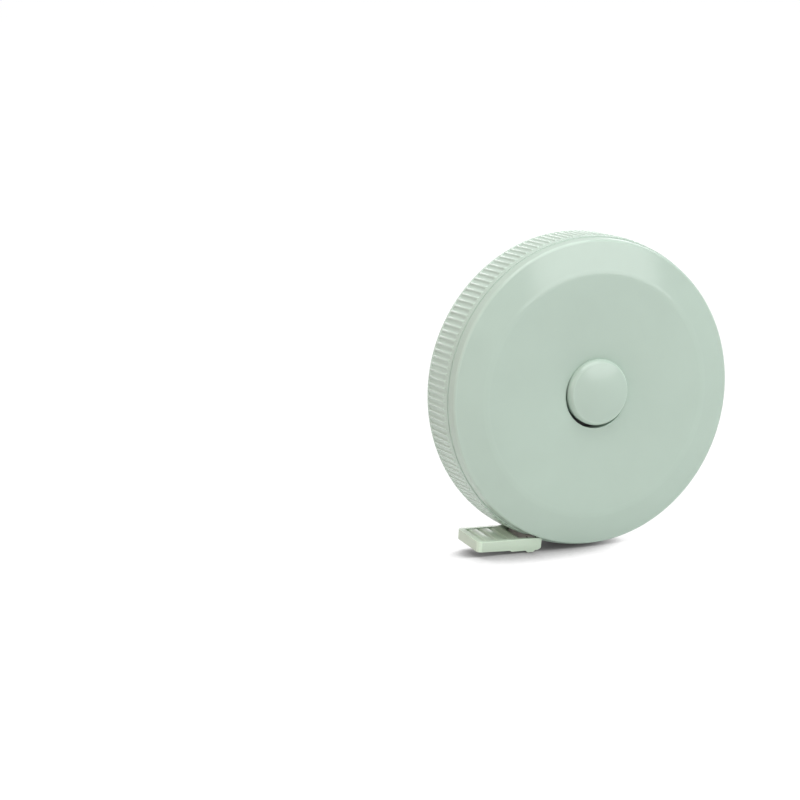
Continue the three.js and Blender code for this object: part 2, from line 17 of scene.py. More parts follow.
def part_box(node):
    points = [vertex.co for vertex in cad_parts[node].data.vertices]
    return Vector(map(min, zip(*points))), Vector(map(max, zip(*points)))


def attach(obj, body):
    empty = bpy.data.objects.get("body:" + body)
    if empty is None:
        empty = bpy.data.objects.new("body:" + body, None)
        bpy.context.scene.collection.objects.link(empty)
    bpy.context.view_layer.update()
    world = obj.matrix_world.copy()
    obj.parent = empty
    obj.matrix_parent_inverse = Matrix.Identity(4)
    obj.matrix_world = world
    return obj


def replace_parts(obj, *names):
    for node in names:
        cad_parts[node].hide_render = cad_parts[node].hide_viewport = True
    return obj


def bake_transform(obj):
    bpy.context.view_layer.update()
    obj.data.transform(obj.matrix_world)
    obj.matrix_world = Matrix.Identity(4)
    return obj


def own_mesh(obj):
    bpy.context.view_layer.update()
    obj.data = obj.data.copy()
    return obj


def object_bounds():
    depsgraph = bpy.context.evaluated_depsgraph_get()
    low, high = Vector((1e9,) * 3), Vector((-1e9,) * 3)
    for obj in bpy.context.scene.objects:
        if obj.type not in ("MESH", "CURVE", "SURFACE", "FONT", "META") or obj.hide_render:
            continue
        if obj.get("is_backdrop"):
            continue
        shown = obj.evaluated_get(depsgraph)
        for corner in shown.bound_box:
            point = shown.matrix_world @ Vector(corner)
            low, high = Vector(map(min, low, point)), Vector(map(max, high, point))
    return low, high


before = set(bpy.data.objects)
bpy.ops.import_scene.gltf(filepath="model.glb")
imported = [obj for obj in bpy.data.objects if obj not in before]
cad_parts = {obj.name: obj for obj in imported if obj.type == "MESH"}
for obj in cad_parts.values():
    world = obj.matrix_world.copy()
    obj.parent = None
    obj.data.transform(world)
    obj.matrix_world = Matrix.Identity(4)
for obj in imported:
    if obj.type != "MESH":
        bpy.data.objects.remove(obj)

LOG = logging.getLogger("tape_measure")
MM = 0.001
WELD = 1e-7
# vertex layer that says where the painted edge highlight goes
EDGE_HIGHLIGHT_LAYER = "edge"
EDGE_ANGLE = math.radians(15)
NARROW = 0.2 * MM
ORIGIN = Vector((0, 0, 0))
SPOOL_AXIS = Vector((0, 1, 0))
WHITE = (1.0, 1.0, 1.0)
NOISE_LOW = 0.3
NOISE_HIGH = 0.7
PLACES_PER_METRE = 1e7

# A rib's section: share of the pitch from its middle, and share of its height
RIB_SECTION = ((0.0, 1.0), (0.1, 0.93), (0.17, 0.55), (0.23, 0.08), (0.5, 0.0))
RIB_PLACE_ROOM = 0.01

# Rows of a rib's rounded front end: shares of its length
RIB_END_ROWS = (1.0, 0.75, 0.5, 0.28, 0.12, 0.03, 0.0)

Colour = tuple[float, float, float]

CASE_GREEN: Colour = (0.465, 0.585, 0.505)
TAB_GREEN: Colour = (0.6, 0.725, 0.59)
# near black for the hidden inner parts, chosen as painted shade so the gaps round the button read dark
PAINTED_SHADE_CHARCOAL: Colour = (0.05, 0.05, 0.053)
STEEL_GREY: Colour = (0.55, 0.56, 0.58)
RUBBER_BLACK: Colour = (0.03, 0.03, 0.03)
CLOTH_WHITE: Colour = (0.9, 0.89, 0.86)
INK_BLACK: Colour = (0.08, 0.08, 0.085)
TABLE_WHITE: Colour = (0.78, 0.78, 0.78)


class Body(Enum):
    """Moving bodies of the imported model."""

    CASE = "case"
    SPOOL = "spool"
    BUTTON = "button"
    TAPE_END = "tape_end"


class Slot(Enum):
    """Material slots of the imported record."""

    CASE = "case_plastic"
    BUTTON = "button_plastic"
    TAB = "tab_plastic"
    INNER = "inner_plastic"
    CLOTH = "coated_cloth"
    STEEL = "steel"
    RUBBER = "brake_rubber"


class Nodes:
    """A node tree, with short ways to add nodes and join them."""

    def __init__(self, tree: bpy.types.NodeTree) -> None:
        """Keeps the tree that the nodes go into."""
        self.tree = tree

    def add(self, kind: str, **settings: object) -> bpy.types.Node:
        """Adds a node.

        Args:
            kind: the node's type.
            settings: the node's own properties.

        Returns:
            The new node.
        """
        node = self.tree.nodes.new(kind)
        for name, value in settings.items():
            setattr(node, name, value)
        return node

    def join(self, source: bpy.types.NodeSocket, target: bpy.types.NodeSocket) -> None:
        """Links an output to an input."""
        self.tree.links.new(source, target)

    def put(self, source: object, target: bpy.types.NodeSocket) -> None:
        """Links an output to an input, or sets the input to a plain value.

        Args:
            source: an output, or the value.
            target: the input.
        """
        if isinstance(source, bpy.types.NodeSocket):
            self.join(source, target)
        else:
            target.default_value = source

    def maths(self, operation: str, first: object, second: object = 0.0) -> bpy.types.NodeSocket:
        """Adds a calculation on two values, each a socket or a number.

        Args:
            operation: the node's name for it.
            first: the first value.
            second: the second value.

        Returns:
            The socket that holds the result.
        """
        node = self.add("ShaderNodeMath", operation=operation)
        self.put(first, node.inputs[0])
        self.put(second, node.inputs[1])
        return node.outputs["Value"]

    def dot(self, vector: bpy.types.NodeSocket, way: Sequence[float]) -> bpy.types.NodeSocket:
        """Measures a vector along a fixed way.

        Args:
            vector: the vector's socket.
            way: the direction.

        Returns:
            The socket that holds the length along it.
        """
        node = self.add("ShaderNodeVectorMath", operation="DOT_PRODUCT")
        node.inputs[1].default_value = way
        self.join(vector, node.inputs[0])
        return node.outputs["Value"]

    def seen_directly(self) -> bpy.types.NodeSocket:
        """Tells rays from the camera, a gloss or a clear surface from rays that carry light.

        Returns:
            The socket that holds 1 on the first and 0 on the others.
        """
        path = self.add("ShaderNodeLightPath")
        socket = path.outputs["Is Camera Ray"]
        for name in ("Is Glossy Ray", "Is Transmission Ray"):
            socket = self.maths("MAXIMUM", socket, path.outputs[name])
        return socket


class Graph(Nodes):
    """A material's nodes, with its shader and the patterns that the finishes share."""

    def __init__(self, name: str) -> None:
        """Starts a material that holds a shader and an output.

        Args:
            name: the material's name.
        """
        self.material = bpy.data.materials.new(name)
        self.material.use_nodes = True
        super().__init__(self.material.node_tree)
        self.shader = self.tree.nodes["Principled BSDF"]

    def place(self, stretch: Sequence[float] = (1, 1, 1)) -> bpy.types.NodeSocket:
        """Gives the piece's own coordinates, stretched.

        Args:
            stretch: scale along the three axes.

        Returns:
            The socket that holds the coordinates.
        """
        source = self.add("ShaderNodeTexCoord")
        mapping = self.add("ShaderNodeMapping")
        mapping.inputs["Scale"].default_value = stretch
        self.join(source.outputs["Object"], mapping.inputs["Vector"])
        return mapping.outputs["Vector"]

    def noise(
        self, where: bpy.types.NodeSocket, per_metre: float, detail: float = 3.0
    ) -> bpy.types.NodeSocket:
        """Adds a noise pattern.

        Args:
            where: coordinates that it follows.
            per_metre: how many cells fit in a metre.
            detail: octaves of finer noise.

        Returns:
            The socket with values about a half.
        """
        node = self.add("ShaderNodeTexNoise")
        node.inputs["Scale"].default_value = per_metre
        node.inputs["Detail"].default_value = detail
        self.join(where, node.inputs["Vector"])
        return node.outputs["Fac"]

    def spread(self, value: bpy.types.NodeSocket, low: float, high: float) -> bpy.types.NodeSocket:
        """Stretches the middle part of a noise value between two limits.

        Args:
            value: a noise value.
            low: result at the low end.
            high: result at the high end.

        Returns:
            The stretched value.
        """
        node = self.add("ShaderNodeMapRange")
        node.inputs["From Min"].default_value = NOISE_LOW
        node.inputs["From Max"].default_value = NOISE_HIGH
        node.inputs["To Min"].default_value = low
        node.inputs["To Max"].default_value = high
        self.join(value, node.inputs["Value"])
        return node.outputs["Result"]

    def blend(self, factor: object, first: object, second: object) -> bpy.types.NodeSocket:
        """Mixes two colours.

        Args:
            factor: share of the second colour.
            first: colour or socket.
            second: colour or socket.

        Returns:
            The mixed colour.
        """
        node = self.add("ShaderNodeMix", data_type="RGBA")
        colours = [socket for socket in node.inputs if socket.type == "RGBA"]
        self.put(factor, node.inputs[0])
        for colour, socket in zip((first, second), colours):
            value = colour if isinstance(colour, bpy.types.NodeSocket) else (*colour, 1.0)
            self.put(value, socket)
        return next(socket for socket in node.outputs if socket.type == "RGBA")

    def emboss(self, height: bpy.types.NodeSocket, depth: float, strength: float = 1.0) -> None:
        """Gives the shader a bump.

        Args:
            height: pattern from 0 to 1.
            depth: its full height in metres.
            strength: share of the bump that shows.
        """
        node = self.add("ShaderNodeBump")
        node.inputs["Distance"].default_value = depth
        node.inputs["Strength"].default_value = strength
        self.join(height, node.inputs["Height"])
        self.join(node.outputs["Normal"], self.shader.inputs["Normal"])


def tinted(colour: Colour, share: float) -> Colour:
    """Scales a colour's brightness by a share."""
    return tuple(channel * share for channel in colour)


@dataclass(frozen=True)
class MouldedPlastic:
    """Plastic from a mould: faint flow clouds, a fine skin, an even gloss, and a painted highlight that
    makes its rounded edges paler.
    """

    name: str
    colour: Colour
    roughness: float
    clouds: float = 0.02
    clouds_per_metre: float = 90.0
    skin_per_metre: float = 2600.0
    skin_detail: float = 2.0
    skin_depth: float = 0.004 * MM
    skin_share: float = 0.35
    gloss_range: float = 0.08
    density_index: float = 1.5
    edge_highlight_gain: float = 0.14

    def material(self) -> bpy.types.Material:
        """Builds the material.

        Returns:
            The material.
        """
        graph = Graph(self.name)
        where = graph.place()
        cloud = graph.noise(where, self.clouds_per_metre)
        skin = graph.noise(where, self.skin_per_metre, self.skin_detail)
        pale = tinted(self.colour, 1 + self.clouds)
        deep = tinted(self.colour, 1 - self.clouds)
        body = graph.blend(graph.spread(cloud, 0, 1), deep, pale)
        # painted highlight: the base colour turns paler on rounded outer edges, standing in for the
        # light that they catch
        edge = graph.add("ShaderNodeAttribute", attribute_name=EDGE_HIGHLIGHT_LAYER).outputs["Fac"]
        highlit_edge = graph.blend(edge, body, tinted(self.colour, 1 + self.edge_highlight_gain))
        graph.join(highlit_edge, graph.shader.inputs["Base Color"])
        smooth = self.roughness * (1 - self.gloss_range)
        rough = self.roughness * (1 + self.gloss_range)
        graph.join(graph.spread(cloud, smooth, rough), graph.shader.inputs["Roughness"])
        graph.emboss(skin, self.skin_depth, self.skin_share)
        graph.shader.inputs["IOR"].default_value = self.density_index
        return graph.material


@dataclass(frozen=True)
class RolledSteel:
    """Drawn wire and rolled strip, with fine marks along one way."""

    name: str
    colour: Colour
    smooth: float = 0.224
    rough: float = 0.364
    marks_per_metre: float = 5000.0
    marks_stretch: Colour = (0.1, 1.0, 0.1)
    marks_shade: float = 0.85
    marks_depth: float = 0.002 * MM
    marks_share: float = 0.4

    def material(self) -> bpy.types.Material:
        """Builds the material.

        Returns:
            The material.
        """
        graph = Graph(self.name)
        marks = graph.noise(graph.place(self.marks_stretch), self.marks_per_metre)
        dull = tinted(self.colour, self.marks_shade)
        shade = graph.blend(graph.spread(marks, 0, 1), dull, self.colour)
        graph.join(shade, graph.shader.inputs["Base Color"])
        graph.join(graph.spread(marks, self.smooth, self.rough), graph.shader.inputs["Roughness"])
        graph.emboss(marks, self.marks_depth, self.marks_share)
        graph.shader.inputs["Metallic"].default_value = 1.0
        return graph.material


@dataclass(frozen=True)
class MattRubber:
    """Friction rubber with a dusty grain."""

    name: str
    colour: Colour
    smooth: float = 0.75
    rough: float = 0.95
    grain_per_metre: float = 3500.0
    grain_detail: float = 4.0
    grain_depth: float = 0.02 * MM
    dust: float = 1.8

    def material(self) -> bpy.types.Material:
        """Builds the material.

        Returns:
            The material.
        """
        graph = Graph(self.name)
        grain = graph.noise(graph.place(), self.grain_per_metre, self.grain_detail)
        dusty = tinted(self.colour, self.dust)
        shade = graph.blend(graph.spread(grain, 0, 1), self.colour, dusty)
        graph.join(shade, graph.shader.inputs["Base Color"])
        graph.join(graph.spread(grain, self.smooth, self.rough), graph.shader.inputs["Roughness"])
        graph.emboss(grain, self.grain_depth)
        return graph.material


@dataclass(frozen=True)
class CoatedCloth:
    """Woven tape under a thin coat, with millimetre and centimetre marks along both edges."""

    name: str
    colour: Colour
    ink: Colour
    width: float
    threads_per_metre: float = 2600.0
    thread_shade: float = 0.93
    thread_depth: float = 0.015 * MM
    smooth: float = 0.42
    rough: float = 0.5
    fine_mark: float = 1.0 * MM
    bold_mark: float = 10.0 * MM
    fine_length: float = 1.3 * MM
    bold_length: float = 2.6 * MM
    line: float = 0.22 * MM
    run: Optional[tuple[Vector, Vector]] = None

    def material(self) -> bpy.types.Material:
        """Builds the material; the UV map holds metres along and across the tape.

        Returns:
            The material.
        """
        graph = Graph(self.name)
        chart = graph.add("ShaderNodeUVMap", uv_map="tape")
        split = graph.add("ShaderNodeSeparateXYZ")
        graph.join(chart.outputs["UV"], split.inputs["Vector"])
        along = self.lengthwise(graph, split.outputs["X"])
        across = split.outputs["Y"]
        edge = graph.maths("SUBTRACT", self.width / 2, graph.maths("ABSOLUTE", across))
        fine = self.marks(graph, along, edge, self.fine_mark, self.fine_length)
        bold = self.marks(graph, along, edge, self.bold_mark, self.bold_length)
        printed = graph.maths("MAXIMUM", fine, bold)
        warp = self.thread(graph, along)
        weft = self.thread(graph, across)
        weave = graph.maths("MULTIPLY", warp, weft)
        cloth = graph.blend(weave, tinted(self.colour, self.thread_shade), self.colour)
        graph.join(graph.blend(printed, cloth, self.ink), graph.shader.inputs["Base Color"])
        graph.join(graph.spread(weave, self.rough, self.smooth), graph.shader.inputs["Roughness"])
        graph.emboss(weave, self.thread_depth)
        return graph.material

    def lengthwise(self, graph: Graph, charted: bpy.types.NodeSocket) -> bpy.types.NodeSocket:
        """Gives metres along the tape, from its place where it is a run that pays out.

        Args:
            graph: the material's nodes.
            charted: metres along the tape in the UV map.

        Returns:
            The socket that holds the distance.
        """
        if self.run is None:
            return charted
        start, end = self.run
        way = (end - start).normalized()
        return graph.maths("SUBTRACT", graph.dot(graph.place(), way), start.dot(way))

    def marks(
        self,
        graph: Graph,
        along: bpy.types.NodeSocket,
        edge: bpy.types.NodeSocket,
        pitch: float,
        length: float,
    ) -> bpy.types.NodeSocket:
        """Draws one row of marks.

        Args:
            graph: the material's nodes.
            along: metres along the tape.
            edge: metres in from the nearer edge.
            pitch: distance between marks.
            length: how far a mark reaches in from the edge.

        Returns:
            1 on a mark and 0 beside it.
        """
        step = graph.maths("PINGPONG", along, pitch / 2)
        near = graph.maths("LESS_THAN", step, self.line / 2)
        reach = graph.maths("LESS_THAN", edge, length)
        return graph.maths("MULTIPLY", near, reach)

    def thread(self, graph: Graph, way: bpy.types.NodeSocket) -> bpy.types.NodeSocket:
        """Makes a wave with one crest for each thread.

        Args:
            graph: the material's nodes.
            way: metres across the threads.

        Returns:
            The socket with values from 0 to 1.
        """
        turn = graph.maths("MULTIPLY", way, self.threads_per_metre * math.tau)
        wave = graph.maths("SINE", turn)
        return graph.maths("ADD", graph.maths("MULTIPLY", wave, 0.5), 0.5)


@dataclass(frozen=True)
class PaleFloor:
    """Plain white table top, whose white is a glow that lights nothing; near the object the glow is
    darkened by ambient occlusion from one side, a painted shadow.
    """

    name: str
    colour: Colour
    seen_share: float
    glow: float
    shadow_reach: float = 20.0 * MM
    shadow_power: float = 6.0
    shadow_from: Colour = (0.837, 0.483, 0.259)
    open_share: float = 0.65
    shadow_samples: int = 32
    grain_per_metre: float = 40.0
    grain_shade: float = 0.99

    def material(self) -> bpy.types.Material:
        """Builds the material: matt white where it lights the object, a glow on grey where it is seen.

        Returns:
            The material.
        """
        graph = Graph(self.name)
        graph.tree.nodes.remove(graph.shader)
        seen = graph.seen_directly()
        matt = graph.add("ShaderNodeBsdfDiffuse")
        grain = graph.noise(graph.place(), self.grain_per_metre)
        white = graph.blend(grain, tinted(self.colour, self.grain_shade), self.colour)
        graph.join(graph.blend(seen, white, tinted(self.colour, self.seen_share)), matt.inputs["Color"])
        # painted shadow: the glow darkens where ambient occlusion, sampled about the fixed side
        # shadow_from, finds the object near
        openness = graph.add("ShaderNodeAmbientOcclusion", samples=self.shadow_samples)
        openness.inputs["Distance"].default_value = self.shadow_reach
        side = graph.add("ShaderNodeCombineXYZ")
        for axis, way in zip("XYZ", self.shadow_from):
            side.inputs[axis].default_value = way
        graph.join(side.outputs["Vector"], openness.inputs["Normal"])
        share = graph.maths("DIVIDE", openness.outputs["AO"], self.open_share)
        clear = graph.maths("MINIMUM", share, 1.0)
        level = graph.maths("MULTIPLY", graph.maths("POWER", clear, self.shadow_power), self.glow)
        glow = graph.add("ShaderNodeEmission")
        graph.join(graph.maths("MULTIPLY", seen, level), glow.inputs["Strength"])
        total = graph.add("ShaderNodeAddShader")
        graph.join(matt.outputs["BSDF"], total.inputs[0])
        graph.join(glow.outputs["Emission"], total.inputs[1])
        output = graph.tree.nodes["Material Output"]
        graph.join(total.outputs["Shader"], output.inputs["Surface"])
        return graph.material


@dataclass(frozen=True)
class Corner:
    """One corner of a drawn profile: a place in its plane, and how far its rounding reaches."""

    across: float
    along: float
    reach: float = 0.0
    segments: int = 4


class Workpiece:
    """A mesh under work, with the shaping steps that the pieces share."""

    def __init__(self) -> None:
        """Starts an empty mesh."""
        self.mesh = bmesh.new()

    def draw(self, corners: Sequence[Corner], closed: bool) -> "Workpiece":
        """Draws a profile in the plane of X and Y and rounds its corners.

        Args:
            corners: the profile's corners in order.
            closed: whether the last corner joins the first.

        Returns:
            The workpiece.
        """
        points = [self.mesh.verts.new((corner.across, corner.along, 0)) for corner in corners]
        for first, second in zip(points, points[1:]):
            self.mesh.edges.new((first, second))
        if closed:
            self.mesh.edges.new((points[-1], points[0]))
        for point, corner in zip(points, corners):
            if corner.reach > 0:
                bmesh.ops.bevel(
                    self.mesh,
                    geom=[point],
                    offset=corner.reach,
                    offset_type="OFFSET",
                    segments=corner.segments,
                    profile=0.5,
                    affect="VERTICES",
                    material=-1,
                )
        return self

    def spin(self, steps: int) -> "Workpiece":
        """Turns the drawn profile once round the spool's axis."""
        bmesh.ops.spin(
            self.mesh,
            geom=self.mesh.verts[:] + self.mesh.edges[:],
            cent=ORIGIN,
            axis=SPOOL_AXIS,
            angle=math.tau,
            steps=steps,
            use_merge=True,
        )
        return self.close()

    def fill(self) -> "Workpiece":
        """Fills the drawn outline with one face."""
        bmesh.ops.contextual_create(self.mesh, geom=self.mesh.edges[:])
        return self

    def extrude(self, way: Vector) -> "Workpiece":
        """Pulls the drawn faces out into a solid.

        Args:
            way: direction and length of the pull.

        Returns:
            The workpiece.
        """
        pulled = bmesh.ops.extrude_face_region(self.mesh, geom=self.mesh.faces[:])
        moved = [item for item in pulled["geom"] if isinstance(item, bmesh.types.BMVert)]
        bmesh.ops.translate(self.mesh, verts=moved, vec=way)
        return self.close()

    def close(self) -> "Workpiece":
        """Merges doubled points and turns the faces outwards.

        Returns:
            The workpiece.
        """
        bmesh.ops.remove_doubles(self.mesh, verts=self.mesh.verts[:], dist=WELD)
        bmesh.ops.recalc_face_normals(self.mesh, faces=self.mesh.faces[:])
        return self

    def move(self, matrix: Matrix) -> "Workpiece":
        """Moves the whole mesh."""
        bmesh.ops.transform(self.mesh, matrix=matrix, verts=self.mesh.verts[:])
        return self

    def pull(
        self, edges: Iterable[bmesh.types.BMEdge]
    ) -> tuple[list[bmesh.types.BMVert], list[bmesh.types.BMEdge]]:
        """Pulls edges out into faces, whose new row still has to be moved.

        Args:
            edges: the edges to pull.

        Returns:
            The new row's points and its edges.
        """
        pulled = bmesh.ops.extrude_edge_only(self.mesh, edges=list(edges))["geom"]
        points = [item for item in pulled if isinstance(item, bmesh.types.BMVert)]
        ring = set(points)
        row = [item for item in pulled if isinstance(item, bmesh.types.BMEdge)]
        return points, [edge for edge in row if all(point in ring for point in edge.verts)]

    def round_edges(
        self, edges: Iterable[bmesh.types.BMEdge], width: float, segments: int
    ) -> "Workpiece":
        """Rounds some edges.

        Args:
            edges: the edges to round.
            width: how far the rounding reaches.
            segments: facets across it.

        Returns:
            The workpiece.
        """
        bmesh.ops.bevel(
            self.mesh,
            geom=list(edges),
            offset=width,
            offset_type="OFFSET",
            segments=segments,
            profile=0.5,
            affect="EDGES",
            material=-1,
            clamp_overlap=True,
        )
        return self

    def sharp_edges(self, least: float) -> list[bmesh.types.BMEdge]:
        """Gives the edges whose faces meet at more than an angle."""
        return [edge for edge in self.mesh.edges if edge.is_manifold and edge.calc_face_angle() > least]

    def mark_edge_highlights(self) -> "Workpiece":
        """Writes how much each point lies on a rounded outer edge, where finishes paint a paler
        highlight.

        Returns:
            The workpiece.
        """
        layer = self.mesh.verts.layers.float.new(EDGE_HIGHLIGHT_LAYER)
        for edge in self.mesh.edges:
            most = NARROW * edge.calc_length()
            if all(face.calc_area() < most for face in edge.link_faces):
                share = min(max(edge.calc_face_angle_signed(0.0), 0.0) / EDGE_ANGLE, 1.0)
                for point in edge.verts:
                    point[layer] = max(point[layer], share)
        return self

    def stand_in(self) -> bpy.types.Object:
        """Makes a passing object of the mesh, for a boolean.

        Returns:
            The object.
        """
        data = bpy.data.meshes.new("stand_in")
        self.mesh.to_mesh(data)
        return link_object("stand_in", data)

    def carve(self, *tools: "Workpiece") -> "Workpiece":
        """Cuts the shapes of other workpieces out of this one, and uses those up.

        Args:
            tools: the shapes to cut out.

        Returns:
            The workpiece.
        """
        for tool in tools:
            blank = self.stand_in()
            cutter = tool.stand_in()
            modifier = blank.modifiers.new("carve", "BOOLEAN")
            modifier.operation = "DIFFERENCE"
            modifier.solver = "EXACT"
            modifier.object = cutter
            graph = bpy.context.evaluated_depsgraph_get()
            result = bpy.data.meshes.new_from_object(blank.evaluated_get(graph), depsgraph=graph)
            self.mesh.clear()
            self.mesh.from_mesh(result)
            tool.mesh.free()
            for leftover in (blank.data, cutter.data, result):
                bpy.data.meshes.remove(leftover)
        return self

    def publish(
        self, name: str, material: bpy.types.Material, slot: Slot, crease: float = 32.0
    ) -> bpy.types.Object:
        """Makes the finished piece's object, smooth but for its creases.

        Args:
            name: the piece's name.
            material: its finish.
            slot: the record's slot that the finish belongs to; not used.
            crease: angle in degrees past which an edge stays crisp.

        Returns:
            The piece's object.
        """
        self.mark_edge_highlights()
        for face in self.mesh.faces:
            face.smooth = True
        for edge in self.sharp_edges(math.radians(crease)):
            edge.smooth = False
        data = bpy.data.meshes.new(name)
        self.mesh.to_mesh(data)
        triangles = sum(len(face.verts) - 2 for face in self.mesh.faces)
        self.mesh.free()
        piece = link_object(name, data)
        data.materials.append(material)
        LOG.info("%s: %d triangles", name, triangles)
        return piece


def link_object(name: str, data: bpy.types.ID) -> bpy.types.Object:
    """Puts a new object in the scene.

    Args:
        name: the object's name.
        data: its mesh, lamp or camera.

    Returns:
        The object.
    """
    thing = bpy.data.objects.new(name, data)
    bpy.context.scene.collection.objects.link(thing)
    return thing


def towards(heading: float, rise: float) -> Vector:
    """Gives a direction from the object.

    Args:
        heading: degrees from the front, to the right.
        rise: degrees above the level.

    Returns:
        The direction, one metre long.
    """
    turn, lift = math.radians(heading), math.radians(rise)
    level = Vector((math.sin(turn), -math.cos(turn), 0)) * math.cos(lift)
    return level + Vector((0, 0, math.sin(lift)))


def middle_of(node: str) -> Vector:
    """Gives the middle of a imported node's box."""
    low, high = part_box(node)
    return (low + high) / 2


def box_between(low: Sequence[float], high: Sequence[float]) -> Workpiece:
    """Makes a plain block, as a cutting tool.

    Args:
        low: its lowest corner.
        high: its highest corner.

    Returns:
        The block.
    """
    tool = Workpiece()
    bmesh.ops.create_cube(tool.mesh, size=1)
    size = Vector(high) - Vector(low)
    middle = (Vector(high) + Vector(low)) / 2
    return tool.move(Matrix.Translation(middle) @ Matrix.Diagonal((*size, 1)))


def rod(radius: float, length: float, facets: int) -> Workpiece:
    """Makes a round bar about the Y axis, centred on the origin.

    Args:
        radius: its radius.
        length: its length.
        facets: its sides.

    Returns:
        The bar.
    """
    tool = Workpiece()
    bmesh.ops.create_cone(
        tool.mesh, cap_ends=True, segments=facets, radius1=radius, radius2=radius, depth=length
    )
    return tool.move(Matrix.Rotation(math.pi / 2, 4, "X"))


@dataclass
class TapePath:
    """Where the tape lies at rest: the winding, then a straight run to the tab and round its pin."""

    length: float = 1500 * MM
    width: float = 6.4 * MM
    thickness: float = 0.35 * MM
    coil_inner: float = 11.3 * MM
    coil_gap: float = 0.3 * MM
    loop_inner: float = 0.45 * MM

    def __post_init__(self) -> None:
        """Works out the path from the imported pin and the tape's own sizes."""
        pin = middle_of("tab_pin")
        self.pin = Vector((pin.x, pin.z))
        self.height = middle_of("tape_leader").y
        self.coil_outer = math.sqrt(self.coil_inner**2 + self.length * self.thickness / math.pi)
        self.run_radius = self.coil_outer + self.coil_gap + self.thickness / 2
        self.loop_radius = self.loop_inner + self.thickness / 2
        reach = self.run_radius + self.loop_radius
        self.run_normal = math.atan2(self.pin.y, self.pin.x) + math.acos(reach / self.pin.length)
        self.run_direction = self.run_normal - math.pi / 2
        self.run_length = math.sqrt(self.pin.length_squared - reach**2)

    def on_run(self, distance: float) -> Vector:
        """Gives a point of the straight run.

        Args:
            distance: metres along it from the winding.

        Returns:
            The point.
        """
        start = Vector((math.cos(self.run_normal), math.sin(self.run_normal))) * self.run_radius
        way = Vector((math.cos(self.run_direction), math.sin(self.run_direction)))
        point = start + way * distance
        return Vector((point.x, self.height, point.y))

    def run_at_radius(self, radius: float) -> float:
        """Gives the distance along the run at which it crosses a radius from the spool's axis."""
        return math.sqrt(radius**2 - self.run_radius**2)


